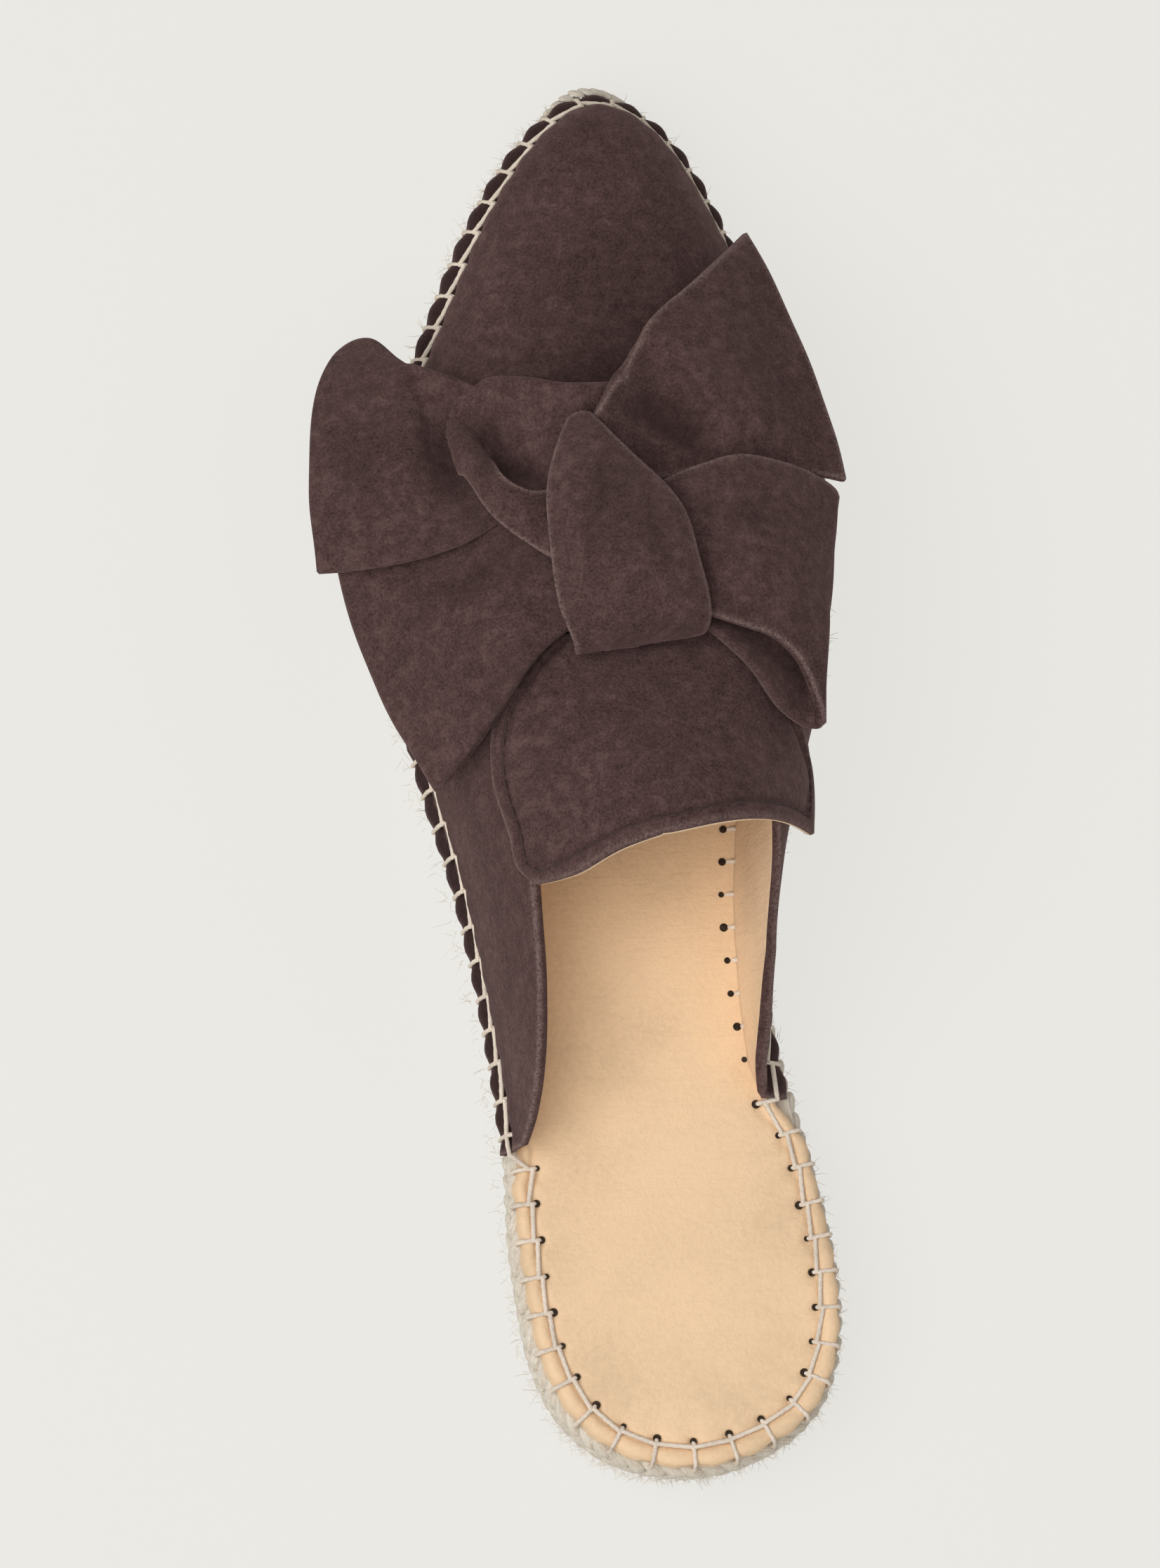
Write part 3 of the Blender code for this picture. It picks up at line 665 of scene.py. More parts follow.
def wall_mesh(outer, inner, keep=None, pole=False, round_out=0.35, worn_columns=True):
    """A wall between two grids with a rounded rim.

    Gives points, faces, a slot for each face (0 outer, 1 inner, 2 outer half of the rim, 3 inner half) and
    each point's distance from the rim. pole leaves the last row without a rim.
    """
    rows, columns = outer.shape[:2]
    keep = np.ones((rows - 1, columns - 1), bool) if keep is None else keep
    count = rows * columns
    front = quads(np.arange(count).reshape(rows, columns))[keep]
    sides = np.concatenate([front[:, [i, (i + 1) % 4]] for i in range(4)])
    known = set(map(tuple, sides.tolist()))
    rim = np.array([side for side in sides.tolist() if (side[1], side[0]) not in known])
    if pole:
        rim = rim[~np.all(rim >= count - columns, axis=1)]
    rim_points, place = np.unique(rim, return_inverse=True)
    place = place.reshape(rim.shape) + 2 * count
    flat_outer, flat_inner = outer.reshape(-1, 3), inner.reshape(-1, 3)
    lean = np.zeros((count, 3))
    centres = flat_outer[front].mean(axis=1)
    for i in range(4):
        np.add.at(lean, front[:, i], flat_outer[front[:, i]] - centres)
    middle = (flat_outer + flat_inner)[rim_points] / 2 + unit(lean)[rim_points] * round_out
    start, end = rim.T
    start_mid, end_mid = place.T
    faces = [
        front,
        front[:, ::-1] + count,
        np.column_stack([end, start, start_mid, end_mid]),
        np.column_stack([end_mid, start_mid, start + count, end + count]),
    ]
    slots = np.concatenate([np.full(len(group), slot) for slot, group in enumerate(faces)])
    faces = np.concatenate(faces)
    points = np.concatenate([flat_outer, flat_inner, middle])
    worn = rim_points
    if not worn_columns:
        worn = rim_points[~np.isin(rim_points % columns, (0, columns - 1))]
    used, faces_used = np.unique(faces, return_inverse=True)
    away, _ = nearest(points[used], flat_outer[worn])
    return points[used], faces_used.reshape(faces.shape), slots, away


def tidy_face(face):
    """The face without a corner that comes twice, as at a pole."""
    return tuple(dict.fromkeys(face))


def make_piece(name, points, faces, materials, slots=None, marks=None, replaces=()):
    """One visible piece from points in the shoe's millimetres, riding on the shoe."""
    mesh = bpy.data.meshes.new(name)
    mesh.from_pydata(((points + SHIFT) * METRES_PER_MM).tolist(), [], [tidy_face(f) for f in faces.tolist()])
    for finish in materials:
        mesh.materials.append(material(finish))
    if slots is not None:
        mesh.polygons.foreach_set("material_index", np.asarray(slots, np.int32))
    for mark, values in (marks or {}).items():
        layer = mesh.attributes.new(mark, "FLOAT", "POINT")
        layer.data.foreach_set("value", np.asarray(values, np.float32))
    mesh.shade_smooth()
    mesh.update()
    piece = bpy.data.objects.new(name, mesh)
    bpy.context.scene.collection.objects.link(piece)
    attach(piece, "root")
    if replaces:
        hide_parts(*replaces)
    return piece


def cords(paths, radius, sides=8, ply=0.0, lay=3.0):
    """Round cords along equal paths of points; ply above 0 gives a two-stranded twist of the given lay."""
    runs, steps = paths.shape[:2]
    tangent = unit(np.gradient(paths, axis=1))
    oblique = np.array([0.31, 0.47, 0.83])
    side = unit(np.cross(tangent, oblique))
    lift = np.cross(side, tangent)
    step = np.linalg.norm(np.diff(paths, axis=1, prepend=paths[:, :1]), axis=-1)
    twist = np.cumsum(step, axis=1) * math.pi / lay
    angle = np.linspace(0, math.tau, sides, endpoint=False)
    form = 1 - ply + ply * np.abs(np.cos(angle - twist[..., None]))
    reach = (form * np.broadcast_to(radius, (runs, steps))[..., None])[..., None]
    ring = side[:, :, None] * np.cos(angle)[:, None] + lift[:, :, None] * np.sin(angle)[:, None]
    points = paths[:, :, None] + ring * reach
    index = np.arange(runs * steps * sides).reshape(runs, steps, sides)
    turned = np.roll(index, -1, axis=2)
    faces = np.stack([index[:, :-1], turned[:, :-1], turned[:, 1:], index[:, 1:]], -1)
    return points.reshape(-1, 3), faces.reshape(-1, 4)


def joined(parts):
    """Points and faces of several meshes as one."""
    shifts = np.cumsum([0] + [len(points) for points, _ in parts[:-1]])
    points = np.concatenate([points for points, _ in parts])
    return points, np.concatenate([faces + shift for (_, faces), shift in zip(parts, shifts)])


class Tone:
    """A value in a material. Expressions on it add Math nodes."""

    def __init__(self, tree, socket):
        self.tree = tree
        self.socket = socket

    def worked(self, operation, other):
        node = self.tree.nodes.new("ShaderNodeMath")
        node.operation = operation
        feed(self.tree, node.inputs[0], self)
        feed(self.tree, node.inputs[1], other)
        return Tone(self.tree, node.outputs[0])

    def __add__(self, other):
        return self.worked("ADD", other)

    def __mul__(self, other):
        return self.worked("MULTIPLY", other)


def feed(tree, socket, value):
    """Links a tone to a socket, or sets the socket to a plain value."""
    if isinstance(value, Tone):
        tree.links.new(value.socket, socket)
    else:
        socket.default_value = value


class Finish:
    """A material of the shoe, built from nodes."""

    def __init__(self, name):
        self.material = bpy.data.materials.new(name)
        self.material.use_nodes = True
        self.tree = self.material.node_tree
        self.shader = self.tree.nodes["Principled BSDF"]

    def node(self, kind, settings, sockets, output=0):
        """Any node: its settings, a ramp's stops among them, then the values or links of its sockets."""
        made = self.tree.nodes.new(kind)
        for setting, value in settings.items():
            if setting == "stops":
                self.stops(made.color_ramp, value)
            else:
                setattr(made, setting, value)
        for name, value in sockets.items():
            feed(self.tree, self.socket(made, name), value)
        return Tone(self.tree, made.outputs[output])

    @staticmethod
    def stops(ramp, stops):
        while len(ramp.elements) < len(stops):
            ramp.elements.new(0.5)
        for element, (position, colour) in zip(ramp.elements, stops):
            element.position = position
            element.color = (*colour, 1)

    @staticmethod
    def socket(made, name):
        """A socket by its identifier, or else by its name."""
        for socket in made.inputs:
            if socket.identifier == name:
                return socket
        return made.inputs[name]

    def place(self):
        return self.node("ShaderNodeTexCoord", {}, {}, "Object")

    def mark(self, name):
        return self.node("ShaderNodeAttribute", {"attribute_name": name}, {}, "Fac")

    def noise(self, place, scale, detail=3.0, rough=0.55, distortion=0.0):
        sockets = {"Vector": place, "Scale": scale, "Detail": detail, "Roughness": rough}
        sockets["Distortion"] = distortion
        return self.node("ShaderNodeTexNoise", {}, sockets)

    def stretched(self, place, scale):
        return self.node("ShaderNodeVectorMath", {"operation": "MULTIPLY"}, {0: place, 1: scale})

    def clamped(self, tone, low, high):
        """The tone as a share between low and high."""
        return self.node("ShaderNodeMapRange", {}, {"Value": tone, "From Min": low, "From Max": high})

    def ramp(self, tone, *stops):
        return self.node("ShaderNodeValToRGB", {"stops": stops}, {"Fac": tone})

    def mix(self, share, first, second):
        sockets = {"Factor_Float": share, "A_Color": first, "B_Color": second}
        return self.node("ShaderNodeMix", {"data_type": "RGBA"}, sockets, 2)

    def bump(self, height, depth, strength=1.0):
        return self.node("ShaderNodeBump", {}, {"Height": height, "Distance": depth, "Strength": strength})

    def done(self, **sockets):
        """Sets the shader's sockets and hands over the material."""
        for name, value in sockets.items():
            feed(self.tree, self.shader.inputs[name.replace("_", " ")], value)
        return self.material


def rgba(colour):
    return (*colour, 1.0)


def toned(colour, share):
    """A plain colour made darker or lighter."""
    return tuple(min(1.0, value * share) for value in colour)


def colour_of(name):
    """A colour of the panel."""
    return tuple(getattr(bpy.context.scene.babouche_colours, name))


def suede_finish(name):
    """Brushed nap: cloudy strokes, fine fuzz, painted shade where marked, and paler fibres along cut edges."""
    finish = Finish(name)
    place = finish.place()
    dark, light = colour_of("suede_shade"), colour_of("suede_nap")
    cloud = finish.noise(place, scale=26, detail=3, rough=0.6, distortion=0.6)
    lie = finish.stretched(place, (1.0, 0.55, 1.0))
    stroke = finish.noise(lie, scale=110, detail=5, rough=0.62, distortion=0.8)
    mottle = finish.noise(place, scale=430, detail=4, rough=0.65)
    fuzz = finish.noise(place, scale=2100, detail=2, rough=0.6)
    tone = finish.clamped(cloud * 0.24 + stroke * 0.24 + mottle * 0.52, 0.39, 0.63)
    colour = finish.ramp(tone, (0.0, dark), (0.5, colour_of("suede")), (1.0, light))
    speck = finish.clamped(fuzz, 0.3, 0.72)
    colour = finish.mix(0.45, colour, finish.ramp(speck, (0.0, toned(dark, 0.7)), (1.0, light)))
    # Painted shade: the nap is mixed towards dark brown by the marked share, in seam grooves, the tongue's
    # stitch groove, crease troughs and in front of the bow.
    colour = finish.mix(finish.mark("pressed"), colour, rgba(toned(dark, 0.6)))
    worn = finish.mark("edge") * finish.clamped(fuzz, 0.25, 0.65)
    colour = finish.mix(worn, colour, rgba(colour_of("suede_edge")))
    height = fuzz * 0.5 + mottle * 0.9 + stroke * 0.5
    return finish.done(
        Base_Color=colour,
        Roughness=0.96,
        Specular_IOR_Level=0.12,
        Sheen_Weight=0.14,
        Sheen_Roughness=0.45,
        Sheen_Tint=rgba((1.0, 0.64, 0.6)),
        Normal=finish.bump(height, depth=0.0007, strength=0.55),
    )


def leather_finish(name, colour_name, depth):
    """Smooth pale leather with fine grain, faint clouds and pores."""
    colour = colour_of(colour_name)
    finish = Finish(name)
    place = finish.place()
    cloud = finish.noise(place, scale=38, detail=4)
    grain = finish.noise(place, scale=900, rough=0.6)
    lie = finish.stretched(place, (1.0, 7.0, 1.0))
    wrinkle = finish.noise(lie, scale=70, rough=0.6, distortion=0.4)
    pores = finish.node("ShaderNodeTexVoronoi", {}, {"Vector": place, "Scale": 1500, "Randomness": 1.0})
    tone = finish.clamped(cloud * 0.7 + grain * 0.3, 0.36, 0.64)
    tint = finish.ramp(tone, (0.0, toned(colour, 0.86)), (0.55, colour), (1.0, toned(colour, 1.07)))
    pitted = finish.ramp(pores, (0.0, toned(colour, 0.55)), (0.5, toned(colour, 1.1)))
    tint = finish.mix(0.05, tint, pitted)
    # Darker along the marked edge: the worn rim, and painted shade at the foot of the medial lining.
    tint = finish.mix(finish.mark("edge") * 0.4, tint, rgba(toned(colour, 0.72)))
    height = grain * 0.6 + pores * 0.5 + wrinkle * 1.6
    return finish.done(
        Base_Color=tint,
        Roughness=finish.clamped(grain, 0.0, 1.0) * 0.25 + 0.5,
        Specular_IOR_Level=0.3,
        Normal=finish.bump(height, depth, strength=0.5),
    )


def jute_finish(name):
    """Combed plant fibre: streaks that follow each strand, with a shade of its own for every strand."""
    dark, light = colour_of("jute_shade"), colour_of("jute")
    finish = Finish(name)
    shade = finish.mark("strand_shade")
    along, across = finish.mark("strand_along"), finish.mark("strand_across")
    sockets = {"X": along * 0.5, "Y": across * 3.2, "Z": shade * 37.0}
    lie = finish.node("ShaderNodeCombineXYZ", {}, sockets)
    streak = finish.noise(lie, scale=2.2, detail=5, rough=0.7, distortion=0.3)
    lint = finish.noise(finish.place(), scale=1300, rough=0.6)
    tone = finish.clamped(streak * 0.75 + lint * 0.25, 0.34, 0.66)
    colour = finish.ramp(tone, (0.0, dark), (0.6, light), (1.0, toned(light, 1.18)))
    colour = finish.mix(shade * 0.25, colour, rgba(dark))
    return finish.done(
        Base_Color=colour,
        Roughness=0.92,
        Specular_IOR_Level=0.2,
        Sheen_Weight=0.15,
        Normal=finish.bump(streak * 1.2 + lint * 0.3, depth=0.0006, strength=0.7),
    )


def yarn_finish(name, colour_name):
    """Twisted thread with soft lint."""
    colour = colour_of(colour_name)
    finish = Finish(name)
    place = finish.place()
    lint = finish.noise(place, scale=1700, rough=0.65)
    soil = finish.noise(place, scale=120, detail=2, rough=0.5)
    tone = finish.clamped(lint * 0.6 + soil * 0.4, 0.35, 0.65)
    tint = finish.ramp(tone, (0.0, toned(colour, 0.78)), (0.6, colour), (1.0, toned(colour, 1.08)))
    relief = finish.bump(lint, depth=0.0002, strength=0.6)
    return finish.done(Base_Color=tint, Roughness=0.85, Specular_IOR_Level=0.25, Normal=relief)


def needle_hole_finish(name):
    """Painted shade of a punched hole, near black."""
    finish = Finish(name)
    lint = finish.noise(finish.place(), scale=1500, detail=2)
    dark = finish.ramp(lint, (0.3, (0.02, 0.014, 0.01)), (0.7, (0.06, 0.042, 0.03)))
    return finish.done(Base_Color=dark, Roughness=1.0, Specular_IOR_Level=0.0)


def floor_finish(name):
    """Pale matt studio board, lit from within so that it stays even."""
    colour = colour_of("floor")
    finish = Finish(name)
    grain = finish.noise(finish.place(), scale=300, detail=2)
    tint = finish.ramp(grain, (0.3, toned(colour, 0.148)), (0.7, toned(colour, 0.15)))
    return finish.done(
        Base_Color=tint,
        Roughness=0.9,
        Specular_IOR_Level=0.1,
        Emission_Color=rgba(colour),
        Emission_Strength=0.86,
    )


MATERIALS = {
    "brushed_suede": suede_finish,
    "lining_leather": partial(leather_finish, colour_name="lining", depth=0.0003),
    "insole_leather": partial(leather_finish, colour_name="insole", depth=0.00022),
    "plaited_jute": jute_finish,
    "pale_yarn": partial(yarn_finish, colour_name="thread"),
    "brown_yarn": partial(yarn_finish, colour_name="tongue_thread"),
    "needle_hole": needle_hole_finish,
    "studio_board": floor_finish,
}


def material(name):
    """A material of the shoe or the floor, made when it is first asked for."""
    return bpy.data.materials.get(name) or MATERIALS[name](name)


def length_size(name, description, default):
    limits = {"min": 0.0, "unit": "LENGTH", "precision": 5}
    return FloatProperty(name=name, description=description, default=default, **limits)


def tint(name, description, default):
    limits = {"size": 3, "min": 0.0, "max": 1.0, "subtype": "COLOR"}
    return FloatVectorProperty(name=name, description=description, default=default, **limits)


class BaboucheSizes(bpy.types.PropertyGroup):
    """Sizes of the hand work on the shoe."""

    stitch_pitch: length_size("Stitch pitch", "Distance between two blanket stitches", 0.0065)
    seam_reach: length_size("Seam reach", "Distance of the stitch line from the upper's edge", 0.0044)
    seam_pull: length_size("Seam pull", "How deep the stitch line is drawn into the upper", 0.0009)
    thread_radius: length_size("Thread radius", "Half the thickness of the pale sewing yarn", 0.00047)
    gather: length_size("Gather height", "Height of the gathers between two stitches", 0.0008)
    strand_pitch: length_size("Strand pitch", "Distance between strands of the plait at the heel", 0.0036)
    tongue_stitch_pitch: length_size("Tongue stitch pitch", "Length of a stitch on the tongue", 0.0027)
    tongue_stitch_inset: length_size("Tongue stitch inset", "Distance of the stitches from its edge", 0.0032)
    fibre_length: length_size("Fibre length", "Length of the loose jute fibres", 0.0026)
    fibre_count: IntProperty(name="Fibre count", description="Number of loose fibres", default=1500, min=0)


class BaboucheColours(bpy.types.PropertyGroup):
    """Colours of the shoe's materials and the floor."""

    suede: tint("Suede", "Main colour of the nap", (0.076, 0.0415, 0.039))
    suede_shade: tint("Suede shade", "Nap brushed away from the light", (0.037, 0.0195, 0.018))
    suede_nap: tint("Suede nap", "Nap brushed towards the light", (0.150, 0.0885, 0.083))
    suede_edge: tint("Suede edge", "Raw fibres along cut edges", (0.22, 0.150, 0.137))
    lining: tint("Lining", "Undyed leather inside the upper", (0.88, 0.67, 0.46))
    insole: tint("Insole", "Smooth leather of the sock", (0.84, 0.60, 0.375))
    thread: tint("Thread", "Pale sewing yarn of the edge", (0.80, 0.69, 0.575))
    tongue_thread: tint("Tongue thread", "Brown sewing yarn of the tongue", (0.062, 0.038, 0.034))
    jute: tint("Jute", "Clean fibre of the plait", (0.90, 0.82, 0.70))
    jute_shade: tint("Jute shade", "Dark fibre in the plait's hollows", (0.64, 0.54, 0.42))
    floor: tint("Floor", "Pale board under the shoe", (0.82, 0.81, 0.775))


def sizes():
    """The sizes of the panel in millimetres."""
    group = bpy.context.scene.babouche_sizes
    names = [name for name in BaboucheSizes.__annotations__ if name != "fibre_count"]
    return {name: getattr(group, name) / METRES_PER_MM for name in names}


def stitch_places(pitch):
    """Turns of the blanket stitches round the edge, and the phase that counts them over a whole turn."""
    turns = np.linspace(0, math.tau, EDGE_STEPS)
    plan = outline(turns, feather_inset(turns))
    steps = np.linalg.norm(np.diff(plan, axis=0), axis=1)
    run = from_zero(steps * (1 - HEEL_EASE * heel_end(turns[1:], 4)))
    count = round(run[-1] / pitch)
    phase = run / run[-1] * count
    return np.interp(np.arange(count + 1), phase, turns), turns, phase


def under_upper(turn):
    """True where the upper, and not the bare insole, meets the sole's edge."""
    rear = np.where(turn < math.pi, QUARTER_REAR["lateral"], QUARTER_REAR["medial"])
    return station_of(turn) > rear + REAR_OVERHANG


def heel_reach(turn):
    """Distance of the stitch line from the insole's edge."""
    return np.interp(turn, HEEL_SEAM["turn"], HEEL_SEAM["reach"])


def edge_spread(turn):
    """How far the upper's edge spreads over the rope: not along the medial side behind the ball."""
    fore = np.clip((station_of(turn) - BALL_FLAT[1]) / SPREAD_RUN, 0, 1)
    return feather_inset(turn) * np.where(np.sin(turn) > 0, 1.0, fore)


def seam_form(turn, distance, pinch):
    """How far the upper stands off its plain form: spread and pinched at its edge, tight at the stitches."""
    size = sizes()
    reach = size["seam_reach"]
    spread = edge_spread(turn) * np.clip(1 - distance / reach, 0, 1)
    pinched = EDGE_PINCH * pinch * bell(distance, PINCH_WIDTH)
    return spread - pinched - size["seam_pull"] * bell(distance - reach, PULL_WIDTH)


def gathers(distance, phase, reach, pitch, height):
    """Height of the gathers that the blanket stitch pulls into an edge."""
    cell = np.abs(np.sin(math.pi * phase)) ** CELL_POWER
    share = np.clip(distance / reach, 0, 1)
    beyond = np.maximum(distance - reach, 0)
    off_line = (phase - np.round(phase)) * pitch
    swell = cell * np.sin(math.pi * share) ** SWELL_POWER
    line = LINE_DEPTH * bell(distance - reach, LINE_WIDTH)
    hole = HOLE_DEPTH * np.exp(-((distance - reach - HOLE_BEYOND) ** 2 + off_line**2) / HOLE_SPREAD)
    fan = FAN_DEPTH * np.cos(math.tau * phase) * np.exp(-beyond / FAN_REACH) * np.clip(beyond, 0, 1)
    return height * (swell - line - hole - fan)


def rear_lean(points):
    """How far the medial quarter leans in towards its rear end, from nothing at its foot."""
    y = points[..., 1]
    share = np.clip((points[..., 2] - sole_top(y) - MEETING_GAP) / LEAN_RISE, 0, 1)
    return np.interp(y, REAR_LEAN["station"], REAR_LEAN["shift"]) * share * (points[..., 0] > MEDIAL_FROM)


def section_point(turn, distance):
    """A point at a distance up the steep medial wall, found along its section, and its normal."""
    longest = 0.6
    section = np.where(turn > math.pi, math.tau - turn, math.pi / 2)
    share = longest * np.linspace(0, 1, 160) ** 2
    path = upper_point(section[..., None], 1 - share)
    steps = np.linalg.norm(np.diff(path, axis=-2), axis=-1).reshape(-1, len(share) - 1)
    reached = [np.interp(wanted, from_zero(step), share) for wanted, step in zip(distance.ravel(), steps)]
    around = 1 - np.array(reached).reshape(turn.shape)
    point = upper_point(section, around)
    return point, upper_offset(section, around, np.ones(turn.shape)) - point


def seam_point(turn, distance):
    """A point of the upper at a distance up from its feather edge, and its normal.

    It is found along the inward line, and along the section where the medial wall is steep.
    """
    nudge = 0.3
    turn, distance = np.broadcast_arrays(np.asarray(turn, float), np.asarray(distance, float))
    foot, inwards = outline(turn, feather_inset(turn)), edge_inwards(turn)
    base = upper_height(foot)

    def at(reach):
        low, high = np.zeros(turn.shape), np.maximum(reach, 1e-6)
        for _ in range(26):
            middle = (low + high) / 2
            climbed = np.hypot(middle, upper_height(foot + inwards * middle[..., None]) - base)
            low, high = np.where(climbed < reach, middle, low), np.where(climbed < reach, high, middle)
        plan = foot + inwards * low[..., None]
        return raised(plan, upper_height(plan))

    climb = unit(at(distance + nudge) - at(np.maximum(distance - nudge, 0)))
    normal = unit(np.cross(climb, edge_along(inwards)))
    outwards = raised(-inwards, np.full(turn.shape, 0.2))
    normal *= np.sign(np.sum(normal * outwards, axis=-1, keepdims=True))
    point = at(distance)
    wall, wall_normal = section_point(turn, distance)
    from_toe, to_toe = STEEP_MEDIAL
    steep = (between(foot[..., 1], to_toe, from_toe) * (turn > math.pi))[..., None]
    return point + (wall - point) * steep, unit(normal + (wall_normal - normal) * steep)


def insole_point(turn, distance):
    """A point on the insole at a distance in from its edge, and its normal."""
    plan = outline(turn, insole_inset(turn) + distance)
    point = raised(plan, insole_top(plan[..., 1]))
    return point, np.broadcast_to(np.array([0.0, 0.0, 1.0]), point.shape)


def edge_point(turn, distance, on_upper, pinch=0.0):
    """A seam point on whichever piece covers the edge at the turn."""
    top, top_normal = seam_point(turn, distance)
    top = top + top_normal * seam_form(turn, distance, pinch)[..., None]
    top[..., 0] -= rear_lean(top)
    low, low_normal = insole_point(turn, distance)
    return np.where(on_upper[..., None], top, low), np.where(on_upper[..., None], top_normal, low_normal)


def rope_point(turn, inset, below):
    """A point at the rope's side, at a depth below the sole's top."""
    plan = outline(turn, inset)
    return raised(plan, sole_top(plan[..., 1]) - below)


def half_turns(count):
    """Turns from the heel end to the toe tip, a little short of both."""
    margin = 0.02
    return np.linspace(margin, math.pi - margin, count)


def crosswise(turns, inset, columns, ease=0.6):
    """Plan points of strips from the lateral to the medial edge, closer together near the edges."""
    t = np.linspace(0, 1, columns)
    share = (ease * (1 - np.cos(math.pi * t)) / 2 + (1 - ease) * t)[None, :, None]
    lateral = outline(turns, inset(turns))[:, None]
    medial = outline(math.tau - turns, inset(math.tau - turns))[:, None]
    return lateral + (medial - lateral) * share


class BABOUCHE_OT_stage(bpy.types.Operator):
    """Pale floor, soft studio light and the camera"""

    bl_idname = "babouche.stage"
    bl_label = "Stage"

    def execute(self, context):
        scene = context.scene
        scene.view_settings.view_transform = "Standard"
        self.floor(scene)
        self.lights(scene)
        self.camera(scene)
        return {"FINISHED"}

    def floor(self, scene):
        """A board with a low swell at its far rim, well outside the view."""
        cells, half_width, drop = 40, 1.8, 0.0004
        rim_from, rim_rise = 1.5, 0.2
        spread = np.linspace(-1, 1, cells + 1) * half_width
        x, y = np.meshgrid(spread, spread)
        rim = np.clip(np.hypot(x, y) - rim_from, 0, None)
        points = np.stack([x, y, rim_rise * rim**2 - drop], -1)
        faces = quads(np.arange(x.size).reshape(x.shape))
        mesh = bpy.data.meshes.new("studio_floor")
        mesh.from_pydata(points.reshape(-1, 3).tolist(), [], faces.reshape(-1, 4).tolist())
        mesh.shade_smooth()
        mesh.materials.append(material("studio_board"))
        floor = bpy.data.objects.new("studio_floor", mesh)
        scene.collection.objects.link(floor)

    def lights(self, scene):
        """A broad key from the lateral side, a weak fill from the heel, and an even sky."""
        lamps = table(
            "x y z size power",
            (-0.62, -0.22, 1.20, 1.2, 14.0),
            (0.60, -0.60, 1.10, 1.2, 1.4),
        )
        lit = Vector((0, 0, 0.03))
        for number, (x, y, z, size, power) in enumerate(zip(*lamps.values())):
            data = bpy.data.lights.new(f"softbox_{number}", "AREA")
            data.shape = "DISK"
            data.size = size
            data.energy = power
            lamp = bpy.data.objects.new(data.name, data)
            lamp.location = (x, y, z)
            lamp.rotation_mode = "QUATERNION"
            lamp.rotation_quaternion = (lit - lamp.location).to_track_quat("-Z", "Y")
            scene.collection.objects.link(lamp)
        sky_colour, sky_strength = (1.0, 0.99, 0.97), 0.33
        world = bpy.data.worlds.new("studio_sky")
        world.use_nodes = True
        sky = world.node_tree.nodes["Background"]
        sky.inputs["Color"].default_value = rgba(sky_colour)
        sky.inputs["Strength"].default_value = sky_strength
        scene.world = world

    def camera(self, scene):
        """A long lens from above, leaning to the lateral side and the heel."""
        lean, roll = 0.158, math.radians(3.29)
        distance, frame_height = 3.0, 0.2893
        looked_at = np.array([-10.2, 129.6, 12.0])
        aim = Vector((looked_at + SHIFT) * METRES_PER_MM)
        back = Vector((-lean, -lean, 1)).normalized()
        skyward = Vector((math.sin(roll), math.cos(roll), 0))
        upward = (skyward - back * skyward.dot(back)).normalized()
        turned = Matrix((upward.cross(back), upward, back)).transposed().to_4x4()
        data = bpy.data.cameras.new("long_lens")
        data.sensor_width = 36.0
        data.lens = data.sensor_width * distance / frame_height
        camera = bpy.data.objects.new("long_lens", data)
        camera.matrix_world = Matrix.Translation(aim + back * distance) @ turned
        scene.collection.objects.link(camera)
        scene.camera = camera


